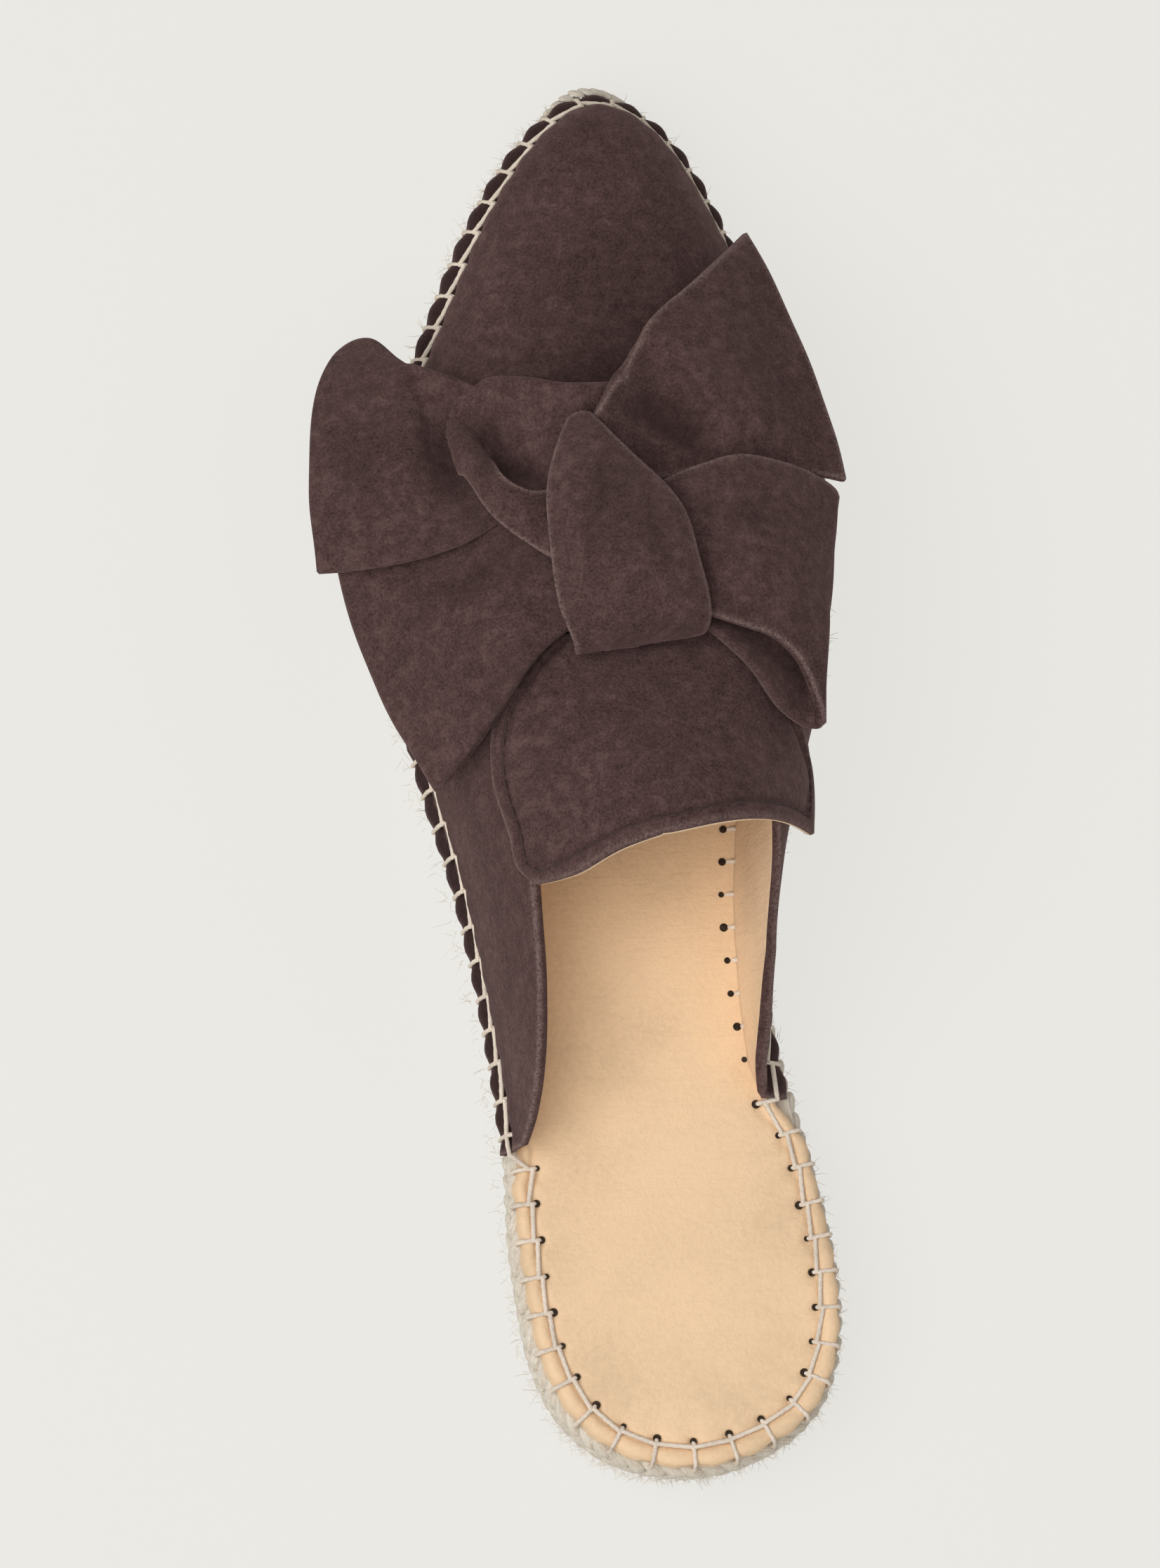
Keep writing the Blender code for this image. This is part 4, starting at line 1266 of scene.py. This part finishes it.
class BABOUCHE_OT_plaited_sole(bpy.types.Operator):
    """Jute sole: a core with coiled underside and plaited strands round its edge"""

    bl_idname = "babouche.plaited_sole"
    bl_label = "Plaited sole"

    row_tilts = (-28, -8, 0, 0, 12, 46)
    slant = 36
    lowest, rows_height = 0.05, 0.92
    half_share, half_length, half_width, bulge = 0.66, 1.5, 0.68, 0.6
    strand_inset, upper_inset = 1.1, 0.4
    heel_fill, top_tuck = 0.6, 0.7
    toe_fill, toe_fill_turn = 3.2, 0.25
    shift_spread, slant_spread, darkest = 0.05, 0.06, 0.7
    core_inset, core_foot_inset, core_drop = 1.6, 0.9, 0.3
    core_along, core_across, core_shade = 0.2, 0.6, 0.75
    coil_height, coil_width = 0.9, 6.2
    seed = 7

    def execute(self, context):
        core_points, core_faces = self.core()
        strand_points, strand_faces, strand_marks = self.strands(sizes()["strand_pitch"])
        points, faces = joined([(core_points, core_faces), (strand_points, strand_faces)])
        # Painted shade: the core, seen in the hollows between the strands, is set darker than the strands.
        core_marks = {
            "strand_along": core_points[:, 1] * self.core_along,
            "strand_across": core_points[:, 0] * self.core_across,
            "strand_shade": np.full(len(core_points), self.core_shade),
        }
        marks = {name: np.concatenate([core_marks[name], strand_marks[name]]) for name in core_marks}
        make_piece("plaited_sole", points, faces, ["plaited_jute"], None, marks, ["rope_sole"])
        return {"FINISHED"}

    def core(self):
        """The body of the sole inside the strands, with the coils of the rope on its underside."""
        turns = half_turns(170)
        plan = crosswise(turns, lambda turn: self.core_inset + FEATHER_INSET - feather_inset(turn), 61)
        foot = crosswise(turns, lambda turn: np.full(turn.shape, self.core_foot_inset + SIDE_TAPER), 61)
        away, _ = nearest(grounded(foot), grounded(outline(np.linspace(0, math.tau, 1200))))
        coils = self.coil_height * (0.5 - 0.5 * np.cos(math.tau * away / self.coil_width))
        top = raised(plan, sole_top(plan[..., 1]) - self.core_drop)
        bottom = raised(foot, floor_gap(foot[..., 1]) + coils)
        points, faces, _, _ = wall_mesh(top, bottom, round_out=0.4)
        return points, faces

    def dome(self):
        """Places along and across a strand, the swell of its face there, and the faces."""
        rings, spokes = 5, 10
        radius = np.linspace(0, 1, rings + 1)[1:, None]
        angle = np.linspace(0, math.tau, spokes, endpoint=False)[None]
        along = np.concatenate([[0], (radius * np.cos(angle)).ravel()])
        across = np.concatenate([[0], (radius * np.sin(angle)).ravel()])
        swell = np.sqrt(np.clip(1 - along**2 - across**2, 0, 1))
        index = 1 + np.arange(rings * spokes).reshape(rings, spokes)
        turned = np.roll(index, -1, axis=1)
        fan = np.stack([np.zeros(spokes, int), index[0], turned[0], turned[0]], -1)
        walls = np.stack([index[:-1], index[1:], turned[1:], turned[:-1]], -1).reshape(-1, 4)
        return along, across, swell, np.concatenate([fan, walls])

    def strands(self, pitch):
        """Slanted strands in rows round the edge, two rows to a course of the plait."""
        turns = np.linspace(0, math.tau, EDGE_STEPS)
        plan = outline(turns)
        depth = sole_depth(plan[:, 1])
        steps = np.linalg.norm(np.diff(plan, axis=0), axis=1)
        run = from_zero(steps / (pitch * depth[1:] / depth.max()))
        count = round(run[-1])
        rows = len(self.row_tilts)
        along, across, swell, dome = self.dome()
        random = np.random.default_rng(self.seed)
        parts, marks = [], {"strand_along": [], "strand_across": [], "strand_shade": []}
        for row, tilt in enumerate(np.radians(self.row_tilts)):
            shifted = np.arange(count) + 0.5 * (row // 2 % 2) + random.normal(0, self.shift_spread, count)
            turn = np.interp(shifted % count, run * count / run[-1], turns)
            up_share = self.lowest + (row + 0.5) / rows * self.rows_height
            tuck = sole_taper(up_share) + (self.top_tuck if row == rows - 1 else 0.0)
            tip = self.toe_fill * bell(turn - math.pi, self.toe_fill_turn)
            inset = self.strand_inset + np.where(under_upper(turn), self.upper_inset, 0.0)
            inset += tuck - tip - self.heel_fill * heel_end(turn) + FEATHER_INSET - feather_inset(turn)
            place = outline(turn, inset)
            thick = sole_depth(place[:, 1])
            centre = raised(place, floor_gap(place[:, 1]) + up_share * thick)
            inwards = edge_inwards(turn)
            forward = edge_along(inwards)
            out = raised(-inwards * math.cos(tilt), np.full(count, math.sin(tilt)))
            up = raised(inwards * math.sin(tilt), np.full(count, math.cos(tilt)))
            half = (thick / rows * self.half_share)[:, None, None]
            side = 1 if row % 2 else -1
            slant = (np.radians(self.slant) * side + random.normal(0, self.slant_spread, count))[:, None]
            long_axis = (forward * np.cos(slant) + up * np.sin(slant))[:, None]
            wide_axis = (up * np.cos(slant) - forward * np.sin(slant))[:, None]
            stretch = random.uniform(0.92, 1.1, count)[:, None, None]
            points = centre[:, None] + long_axis * along[:, None] * half * self.half_length * stretch
            points = points + wide_axis * across[:, None] * half * self.half_width
            points = points + out[:, None] * swell[:, None] * half * self.bulge
            faces = dome[None] + (np.arange(count) * len(along))[:, None, None]
            parts.append((points.reshape(-1, 3), faces.reshape(-1, 4)))
            marks["strand_along"].append(np.tile(along, count))
            marks["strand_across"].append(np.tile(across, count))
            marks["strand_shade"].append(np.repeat(random.uniform(0, self.darkest, count), len(along)))
        points, faces = joined(parts)
        return points, faces, {name: np.concatenate(values) for name, values in marks.items()}


class BABOUCHE_OT_insole(bpy.types.Operator):
    """Leather sock with its edge gathered by the blanket stitch round the heel"""

    bl_idname = "babouche.insole"
    bl_label = "Insole"

    gather_share, wave_height = 0.8, 0.25
    scallop_depth, scallop_reach = 0.45, 1.5
    edge_fall, edge_fall_reach = 0.5, 0.6
    seat_depth, worn_width = 0.4, 0.8

    def execute(self, context):
        size = sizes()
        pitch = size["stitch_pitch"]
        plan = crosswise(half_turns(300), insole_inset, 84, 0.8)
        y = plan[..., 1]
        _, line_turns, line_phase = stitch_places(pitch)
        away, index = nearest(grounded(plan), grounded(outline(line_turns, insole_inset(line_turns))))
        turn, phase = line_turns[index], line_phase[index]
        bare = np.where(under_upper(turn), 0.0, 1.0)
        height = gathers(away, phase, heel_reach(turn), pitch, size["gather"] * self.gather_share) * bare
        height += self.wave_height * ripple(grounded(plan), 70, 3)
        scallop = self.scallop_depth * bare * np.cos(math.pi * phase) ** 2
        scallop *= np.exp(-away / self.scallop_reach)
        plan = plan + edge_inwards(turn) * scallop[..., None]
        top = raised(plan, insole_top(y) + height - self.edge_fall * np.exp(-away / self.edge_fall_reach))
        bottom = raised(plan, sole_top(y) - self.seat_depth)
        points, faces, _, rim = wall_mesh(top, bottom, round_out=0.25)
        marks = {"edge": bell(rim, self.worn_width)}
        finish = ["insole_leather"]
        make_piece("leather_insole", points, faces, finish, None, marks, ["insole"])
        return {"FINISHED"}


class BABOUCHE_OT_upper(bpy.types.Operator):
    """Hollow suede upper with lining, gathered along the sole"""

    bl_idname = "babouche.upper"
    bl_label = "Upper"

    wall_rows = 70
    vamp_rows = 180
    wall_columns = 36
    vamp_columns = 56
    foot_drop = 0.8
    wave_height = 0.35
    calm_width = 12.0
    foot_shade, foot_beside = 2.0, 1.2
    foot_above, foot_width = 0.3, 0.9
    seam_shade, seam_beyond, seam_fade = 0.75, 1.0, 1.5
    flush_beyond, flush_fade = 1.5, 5.0
    vamp_shade, vamp_middle, vamp_width = 0.5, 2.0, 20.0
    vamp_from, vamp_fade = 150.0, (238.0, 202.0)

    def execute(self, context):
        turn, around, keep = self.grid()
        plain = upper_point(turn, around)
        inner = upper_offset(turn, around, np.full(turn.shape, -UPPER_WALL))
        inner[-1] = inner[-1].mean(axis=0)
        outer = upper_offset(turn, around, self.relief(plain))
        for sheet in (outer, inner):
            sheet[..., 0] -= rear_lean(sheet)
        self.straighten(inner)
        for sheet in (outer, inner):
            sheet[:, [0, -1], 2] -= self.foot_drop
        outer[-1] = outer[-1].mean(axis=0)
        points, faces, slots, away = wall_mesh(outer, inner, keep, pole=True, worn_columns=False)
        # The worn rim, and painted shade at the foot of the medial lining.
        edge = np.maximum(bell(away, WORN_WIDTH), self.foot_shade * self.lining_foot(points))
        marks = {"edge": edge, "pressed": self.pressed(points)}
        materials = ["brushed_suede", "lining_leather", "brushed_suede", "brushed_suede"]
        make_piece("suede_upper", points, faces, materials, slots, marks, ["upper"])
        return {"FINISHED"}

    def grid(self):
        """Turns and places around the section: both quarters, then the vamp between them."""
        throat_turn = turn_of(THROAT)
        columns = 2 * self.wall_columns + self.vamp_columns
        wall = np.linspace(0, 1, self.wall_rows + 1)[:, None]
        fore = np.linspace(throat_turn, math.pi, self.vamp_rows + 1)[1:, None]
        sides = {}
        for side, topline in TOPLINE.items():
            rear_turn = turn_of(QUARTER_REAR[side])
            turns = np.concatenate([rear_turn + (throat_turn - rear_turn) * wall**1.5, fore])
            rise = through(turn_of(topline["station"]), topline["rise"])(np.minimum(turns, throat_turn))
            sides[side] = turns, around_of_rise(np.minimum(turns, throat_turn), rise, side)
        (lateral_turn, lateral_top), (medial_turn, medial_top) = sides["lateral"], sides["medial"]
        up = np.linspace(0, 1, self.wall_columns + 1)[None, :]
        over = np.linspace(0, 1, self.vamp_columns + 1)[None, 1:-1]
        lateral = -1 + (lateral_top + 1) * up
        vamp = lateral_top + (medial_top - lateral_top) * over
        medial = medial_top + (1 - medial_top) * up
        around = np.concatenate([lateral, vamp, medial], axis=1)
        turn = np.where(np.arange(columns + 1)[None, :] <= columns // 2, lateral_turn, medial_turn)
        keep = np.ones((len(turn) - 1, columns), bool)
        keep[: self.wall_rows, self.wall_columns : -self.wall_columns] = False
        return turn, around, keep

    def relief(self, plain):
        """Gathers along the seam, listed creases and slow unevenness."""
        size = sizes()
        away, phase, turn = self.from_seam(plain)
        height = gathers(away, phase, size["seam_reach"], size["stitch_pitch"], size["gather"])
        height += seam_form(turn, away, np.cos(math.pi * phase) ** 2)
        wave = self.wave_height * np.clip(away / self.calm_width, 0, 1) * ripple(plain, 55, 11)
        return height + crease_height(plain, CREASES["upper"]) + wave

    def lining_foot(self, points):
        """Painted shade in the fold where the medial lining meets the insole."""
        x, y, z = points.T
        beside = np.abs(x - lining_x(y, "foot_x")) < self.foot_beside
        return bell(z - insole_top(y) - self.foot_above, self.foot_width) * beside * (y < LINING_FADE[0])

    def pressed(self, points):
        """Painted shade: in the groove along the seam, and a painted shadow of the bow on the vamp in front of
        it.
        """
        x, y, _ = points.T
        seam, _, turn = self.from_seam(points)
        flush = (FEATHER_INSET - feather_inset(turn)) / FEATHER_FLUSH
        # Painted shade in the groove along the seam, reaching further where the upper sits flush.
        beyond = seam - sizes()["seam_reach"] - self.seam_beyond - self.flush_beyond * flush
        along_seam = self.seam_shade * np.clip(1 - beyond / (self.seam_fade + self.flush_fade * flush), 0, 1)
        # Painted shadow of the bow on the vamp, darkest next to the bow and fading towards the toe and the
        # sides.
        vamp = self.vamp_shade * between(y, *self.vamp_fade) * bell(x - self.vamp_middle, self.vamp_width)
        return np.maximum(along_seam, vamp * (y > self.vamp_from))

    def from_seam(self, points):
        """Distance of points from the feather edge, with the phase of the stitches and the turn there."""
        _, turns, phase = stitch_places(sizes()["stitch_pitch"])
        foot = outline(turns, feather_inset(turns))
        away, index = nearest(points, raised(foot, sole_top(foot[:, 1]) + MEETING_GAP))
        return away, phase[index], turns[index]

    def straighten(self, inner):
        """Lets the medial lining drop straight from the topline to its foot on the insole."""
        medial = inner[:, -self.wall_columns - 1 :]
        top = medial[:, :1]
        y = medial[..., 1]
        foot = lining_x(y, "foot_x")
        low = insole_top(y)
        share = np.clip((medial[..., 2] - low) / np.maximum(top[..., 2] - low, 1e-3), 0, 1)
        straight = np.minimum(medial[..., 0], foot + (top[..., 0] - foot) * share)
        fade_from, fade_to = LINING_FADE
        medial[..., 0] += (straight - medial[..., 0]) * between(y, fade_to, fade_from)


class BABOUCHE_OT_tongue(bpy.types.Operator):
    """Suede tongue with its lining and a row of brown stitches"""

    bl_idname = "babouche.tongue"
    bl_label = "Tongue"

    line_depth, line_width = 0.4, 0.6
    roll_height, roll_width = 0.25, 1.0
    wave_height, lip = 0.3, 0.45
    shade, shade_width = 0.4, 0.5
    worn, worn_width = 0.6, 0.7
    stitch_share, stitch_radius = 0.78, 0.22
    stitch_rise, stitch_sink = 0.34, 0.14

    def execute(self, context):
        size = sizes()
        turn, around, under = self.grid(64, 110)
        plain = upper_point(turn, around)
        rim = np.concatenate([plain[:, 0], plain[0], plain[:, -1]])
        away, _ = nearest(plain, rim)
        inset = size["tongue_stitch_inset"]
        relief = self.roll_height * bell(away - inset / 2, self.roll_width)
        relief -= self.line_depth * bell(away - inset, self.line_width)
        relief += crease_height(plain, CREASES["tongue"]) + self.wave_height * ripple(plain, 40, 21)
        outer = upper_offset(turn, around, under + TONGUE_THICKNESS + relief)
        inner = upper_offset(turn, around, under)
        inner[0] += self.lip * unit(inner[0] - inner[1])
        points, faces, slots, off_rim = wall_mesh(outer, inner, round_out=0.3)
        # Painted shade in the sunk stitch line; the rim gets the worn edge.
        line = bell(off_rim - inset, self.shade_width)
        marks = {"edge": self.worn * bell(off_rim, self.worn_width), "pressed": self.shade * line}
        materials = ["brushed_suede", "lining_leather"] * 2
        make_piece("suede_tongue", points, faces, materials, slots, marks, ["tongue"])
        self.stitches(outer, inset, size["tongue_stitch_pitch"])
        return {"FINISHED"}

    def grid(self, rows, columns):
        """Turns, places around the section and clearance over the vamp, from the back edge forward."""
        across = np.linspace(0, 1, columns)[None, :]
        forward = np.linspace(0, 1, rows)[:, None]
        back = through(TONGUE_BACK["across"], TONGUE_BACK["station"])(across)
        station = back + (TONGUE_FRONT - back) * forward
        turn = turn_of(station)
        lateral = through(TONGUE_SIDES["station"], TONGUE_SIDES["lateral"])(station)
        medial = through(TONGUE_SIDES["station"], TONGUE_SIDES["medial"])(station)
        start, end = around_of_x(turn, lateral), around_of_x(turn, medial)
        return turn, start + (end - start) * across, TONGUE_GAP + tongue_flare(forward, across)

    def reached(self, lines, distance):
        """On each line of points, the place at a distance from its start."""
        step = np.linalg.norm(np.diff(lines, axis=1, prepend=lines[:, :1]), axis=-1)
        run = np.cumsum(step, axis=1)
        return np.array([[np.interp(distance, r, p) for p in line.T] for r, line in zip(run, lines)])

    def stitches(self, outer, inset, pitch):
        """Short brown stitches in the sunk line round the back and the sides."""
        left, right = self.reached(outer, inset), self.reached(outer[:, ::-1], inset)
        back = self.reached(outer.swapaxes(0, 1), inset)
        row_skip = math.ceil(inset / np.linalg.norm(outer[1, 0] - outer[0, 0])) + 1
        column_skip = math.ceil(inset / np.linalg.norm(outer[0, 1] - outer[0, 0])) + 1
        line = np.concatenate([left[:row_skip:-1], back[column_skip:-column_skip], right[row_skip:]])
        run = run_along(line)
        starts = np.arange(0.5, run[-1] - pitch, pitch)
        share = np.linspace(0, self.stitch_share, 7)
        paths = points_at(starts[:, None] + share * pitch, run, line)
        paths[..., 2] += self.stitch_rise * np.sin(math.pi * share / self.stitch_share) - self.stitch_sink
        points, faces = cords(paths, self.stitch_radius, sides=7, ply=0.25, lay=1.2)
        make_piece("tongue_stitch", points, faces, ["brown_yarn"])


class BABOUCHE_OT_bow(bpy.types.Operator):
    """The six suede bands of the knotted bow"""

    bl_idname = "babouche.bow"
    bl_label = "Bow"

    names = {
        "bow_loop_left": "left_loop",
        "bow_loop_right": "right_loop",
        "bow_tail_left": "left_tail",
        "bow_tail_right": "right_tail",
        "bow_knot_wrap": "knot_wrap",
        "bow_knot_tab": "knot_tab",
    }
    wave_height, wave_length, first_seed = 0.22, 16, 31
    hollow_depth, hollow_shade = 1.2, 0.5

    def execute(self, context):
        for seed, (node, rows) in enumerate(BANDS.items()):
            sheet = self.sheet(rows, 130, 44)
            normal = unit(np.cross(np.gradient(sheet, axis=1), np.gradient(sheet, axis=0)))
            wave = self.wave_height * ripple(sheet, self.wave_length, self.first_seed + seed)
            relief = crease_height(sheet, CREASES[node]) + wave
            upper_side = np.where(normal[..., 2] < 0, -1, 1)
            middle = sheet + normal * (relief * upper_side)[..., None]
            half = normal * RIBBON_THICKNESS / 2
            points, faces, _, away = wall_mesh(middle + half, middle - half, round_out=0.3)
            # Painted shade in the troughs of the creases.
            hollow = np.clip(-crease_height(points, CREASES[node]) / self.hollow_depth, 0, 1)
            marks = {"edge": bell(away, WORN_WIDTH), "pressed": self.hollow_shade * hollow}
            make_piece(self.names[node], points, faces, ["brushed_suede"], None, marks, [node])
        return {"FINISHED"}

    def sheet(self, rows, along, across):
        """The middle of a band: smooth through its sections, and bowed across each of them."""
        middle = np.column_stack([rows["mid_x"], rows["mid_y"], rows["mid_lift"]])
        keys = run_along(middle)
        at = np.linspace(0, keys[-1], along)
        toe, mid, heel = (
            np.stack([through(keys, rows[f"{place}_{axis}"])(at) for axis in ("x", "y", "lift")], -1)[:, None]
            for place in ("toe", "mid", "heel")
        )
        w = np.linspace(0, 1, across)[None, :, None]
        sheet = toe * (1 - w) * (1 - 2 * w) + mid * 4 * w * (1 - w) + heel * w * (2 * w - 1)
        sheet[..., 2] += drape(sheet[..., 0], sheet[..., 1])
        return sheet


class BABOUCHE_OT_blanket_stitch(bpy.types.Operator):
    """Pale blanket stitch round the whole edge, with its needle holes"""

    bl_idname = "babouche.blanket_stitch"
    bl_label = "Blanket stitch"

    yarn = {"sides": 9, "ply": 0.3, "lay": 1.7}
    leg_beyond, leg_end = 1.0, 0.25
    leg_sink, leg_lift = 1.2, 0.6
    upper_out, heel_out = 0.15, 0.45
    upper_top, heel_top = 0.1, 1.6
    over_edge = table(
        "out below top",
        (0.6, 0.0, 1.0),
        (1.0, 0.6, 0.4),
        (0.2, 1.8, 0.4),
    )
    line_share, line_lift, heel_slope = 1.05, 0.7, 0.5
    corner_back, corner_reach = 0.7, 3.6
    bead_from, bead_past = 0.8, 0.4
    bead_climb, bead_arch, bead_sink = 0.9, 0.4, 1.5
    hole_stations, hole_lift, hole_beyond = (75.8, 119.8, 6.15), 0.35, 1.15
    hole_radius, hole_uneven, hole_fall = 0.68, 0.14, -0.1

    def execute(self, context):
        size = sizes()
        turns, _, _ = stitch_places(size["stitch_pitch"])
        random = np.random.default_rng(5)
        turns = turns[:-1] + random.normal(0, 0.0015, len(turns) - 1)
        on_upper = under_upper(turns)
        reach = np.where(on_upper, size["seam_reach"], heel_reach(turns)) + random.normal(0, 0.1, len(turns))
        radius = size["thread_radius"]
        parts = [
            cords(self.legs(turns, reach, on_upper, radius), radius, **self.yarn),
            cords(self.line(turns, reach, on_upper, radius), radius * self.line_share, **self.yarn),
            cords(self.beads(radius), radius, **self.yarn),
        ]
        points, faces = joined(parts)
        make_piece("blanket_stitch", points, faces, ["pale_yarn"])
        self.holes(turns[~on_upper], reach[~on_upper])
        return {"FINISHED"}

    def legs(self, turns, reach, on_upper, radius):
        """Short runs out of the needle holes, over the edge and into the rope."""
        share = np.linspace(0, 1, 10)
        turn = np.repeat(turns[:, None], len(share), axis=1)
        far = reach[:, None] + self.leg_beyond
        distance = far + (self.leg_end - far) * share
        point, normal = edge_point(turn, distance, np.repeat(on_upper[:, None], len(share), axis=1), 1.0)
        height = np.where(share == 0, -self.leg_sink, self.leg_lift) * radius
        face = point + normal * height[:, None]
        upper_edge = feather_inset(turns) - edge_spread(turns) + EDGE_PINCH
        edge = np.where(on_upper, upper_edge, insole_inset(turns))
        out = np.where(on_upper, self.upper_out, self.heel_out)
        top = np.where(on_upper, self.upper_top, self.heel_top)
        bends = zip(*self.over_edge.values())
        rope = [rope_point(turns, edge - far_out * out, below - up * top) for far_out, below, up in bends]
        return np.concatenate([face, np.stack(rope, 1)], 1)

    def line(self, turns, reach, on_upper, radius):
        """Straight runs from the foot of one stitch to the head of the next."""
        share = np.linspace(0, 1, 9)
        slope = np.where(on_upper, 1.0, self.heel_slope * np.abs(np.sin(turns)))
        next_turn = np.append(turns[1:], turns[0] + math.tau)
        turn = turns[:, None] + (next_turn - turns)[:, None] * share
        start, end = reach - slope, np.roll(reach + slope, -1)
        distance = start[:, None] + (end - start)[:, None] * share
        kind = np.repeat(on_upper[:, None], len(share), axis=1)
        point, normal = edge_point(turn % math.tau, distance, kind)
        runs = point + normal * radius * self.line_lift
        bare = ~on_upper
        runs[bare] = runs[bare, :1] + (runs[bare, -1:] - runs[bare, :1]) * share[:, None]
        for i in np.nonzero(on_upper != np.roll(on_upper, -1))[0]:
            here, there = runs[i, 0], runs[(i + 1) % len(runs), 0]
            runs[i] = self.crossing(here, there, turns[i] < math.pi, share, radius)
        return runs

    def crossing(self, start, end, lateral, share, radius):
        """The run that climbs from the insole to the upper, bent round the rear end of a quarter."""
        turn = turn_of(QUARTER_REAR["lateral" if lateral else "medial"] - self.corner_back)
        place = np.array(turn if lateral else math.tau - turn)
        corner, normal = edge_point(place, np.array(self.corner_reach), np.array(True))
        bend = corner + normal * radius
        first, second = np.clip(2 * share, 0, 1)[:, None], np.clip(2 * share - 1, 0, 1)[:, None]
        return start + (bend - start) * first + (end - bend) * second

    def beads(self, radius):
        """Short threads from the holes beside the medial lining up to its foot."""
        start = self.lining_holes() + np.array([self.bead_from, 0, 0])
        length = lining_x(start[:, 1], "foot_x") - start[:, 0] + self.bead_past
        share = np.linspace(0, 1, 7)
        arch = self.bead_arch * np.sin(math.pi * share)
        paths = np.repeat(start[:, None], len(share), axis=1)
        paths[..., 0] += length[:, None] * share
        paths[..., 2] += self.bead_climb * share + arch - self.bead_sink * radius
        return paths

    def lining_holes(self):
        """Places of the needle holes on the insole along the foot of the medial lining."""
        y = np.arange(*self.hole_stations)
        return np.stack([lining_x(y, "hole_x"), y, insole_top(y) + self.hole_lift], -1)

    def holes(self, turns, reach):
        """Needle holes as dark discs of painted shade inside the line on the insole, and a row along the foot
        of the medial lining.
        """
        spokes = 10
        point, _ = insole_point(turns, reach + self.hole_beyond)
        point = np.concatenate([point, self.lining_holes()])
        radius = self.hole_radius + self.hole_uneven * np.sin(np.arange(len(point)) * 2.4)
        angle = np.linspace(0, math.tau, spokes, endpoint=False)
        ring = np.stack([np.cos(angle), np.sin(angle), np.full(spokes, self.hole_fall)], -1)
        points = np.concatenate([point[:, None], point[:, None] + ring * radius[:, None, None]], 1)
        index = np.arange(points.shape[0] * (spokes + 1)).reshape(-1, spokes + 1)
        turned = np.roll(index[:, 1:], -1, axis=1)
        centre = np.repeat(index[:, :1], spokes, axis=1)
        faces = np.stack([centre, index[:, 1:], turned, turned], -1).reshape(-1, 4)
        make_piece("needle_holes", points.reshape(-1, 3), faces, ["needle_hole"])


class BABOUCHE_OT_loose_fibres(bpy.types.Operator):
    """Loose jute fibres that stand off the plait, most of all at the toe and the heel"""

    bl_idname = "babouche.loose_fibres"
    bl_label = "Loose fibres"

    thickness, thinning = 0.06, 0.6
    start_inset, lowest, droop = 0.4, 0.15, 0.35

    def execute(self, context):
        random = np.random.default_rng(19)
        count = context.scene.babouche_sizes.fibre_count
        length = sizes()["fibre_length"] * random.uniform(0.35, 1.0, count)
        even = random.uniform(0, math.tau, count - count // 2)
        spread = np.concatenate([even, random.normal(0, 0.55, count // 2)])
        turn = np.where(np.arange(count) % 5 == 0, spread + math.pi, spread) % math.tau
        start = rope_point(turn, np.full(count, self.start_inset), 0.0)
        start[:, 2] -= sole_depth(outline(turn)[:, 1]) * random.uniform(0.02, 0.7, count)
        inwards = edge_inwards(turn)
        lean = random.normal(0, 1.3, count)[:, None]
        climb = random.normal(0.15, 0.5, count)[:, None]
        upward = np.array([0, 0, 1.0])
        heading = unit(grounded(-inwards) + edge_along(inwards) * lean + upward * climb)
        curl = unit(random.normal(size=(count, 3))) * 0.5 - upward * self.droop
        share = np.linspace(0, 1, 7)
        run = share[None, :, None] * length[:, None, None]
        paths = start[:, None] + heading[:, None] * run + curl[:, None] * run**2 / length[:, None, None] * 0.6
        paths[..., 2] = np.maximum(paths[..., 2], self.lowest)
        points, faces = cords(paths, self.thickness * (1 - self.thinning * share)[None], 3)
        marks = {
            "strand_along": np.zeros(len(points)),
            "strand_across": np.zeros(len(points)),
            "strand_shade": np.repeat(random.uniform(0, 0.35, count), len(points) // count),
        }
        make_piece("jute_fibres", points, faces, ["plaited_jute"], None, marks)
        return {"FINISHED"}


STEPS = (
    BABOUCHE_OT_stage,
    BABOUCHE_OT_plaited_sole,
    BABOUCHE_OT_insole,
    BABOUCHE_OT_upper,
    BABOUCHE_OT_tongue,
    BABOUCHE_OT_bow,
    BABOUCHE_OT_blanket_stitch,
    BABOUCHE_OT_loose_fibres,
)


class BABOUCHE_PT_dressing(bpy.types.Panel):
    """Sizes, colours and steps of the dressing"""

    bl_idname = "BABOUCHE_PT_dressing"
    bl_label = "Babouche"
    bl_space_type = "VIEW_3D"
    bl_region_type = "UI"
    bl_category = "Babouche"

    def draw(self, context):
        for group in (context.scene.babouche_sizes, context.scene.babouche_colours):
            for name in group.__annotations__:
                self.layout.prop(group, name)
        for step in STEPS:
            self.layout.operator(step.bl_idname)


CLASSES = (BaboucheSizes, BaboucheColours, *STEPS, BABOUCHE_PT_dressing)


def register():
    for item in CLASSES:
        bpy.utils.register_class(item)
    bpy.types.Scene.babouche_sizes = PointerProperty(type=BaboucheSizes)
    bpy.types.Scene.babouche_colours = PointerProperty(type=BaboucheColours)


def unregister():
    del bpy.types.Scene.babouche_colours
    del bpy.types.Scene.babouche_sizes
    for item in reversed(CLASSES):
        bpy.utils.unregister_class(item)


def main():
    register()
    bpy.ops.babouche.stage()
    bpy.ops.babouche.plaited_sole()
    bpy.ops.babouche.insole()
    bpy.ops.babouche.upper()
    bpy.ops.babouche.tongue()
    bpy.ops.babouche.bow()
    bpy.ops.babouche.blanket_stitch()
    bpy.ops.babouche.loose_fibres()


if __name__ == "__main__":
    main()
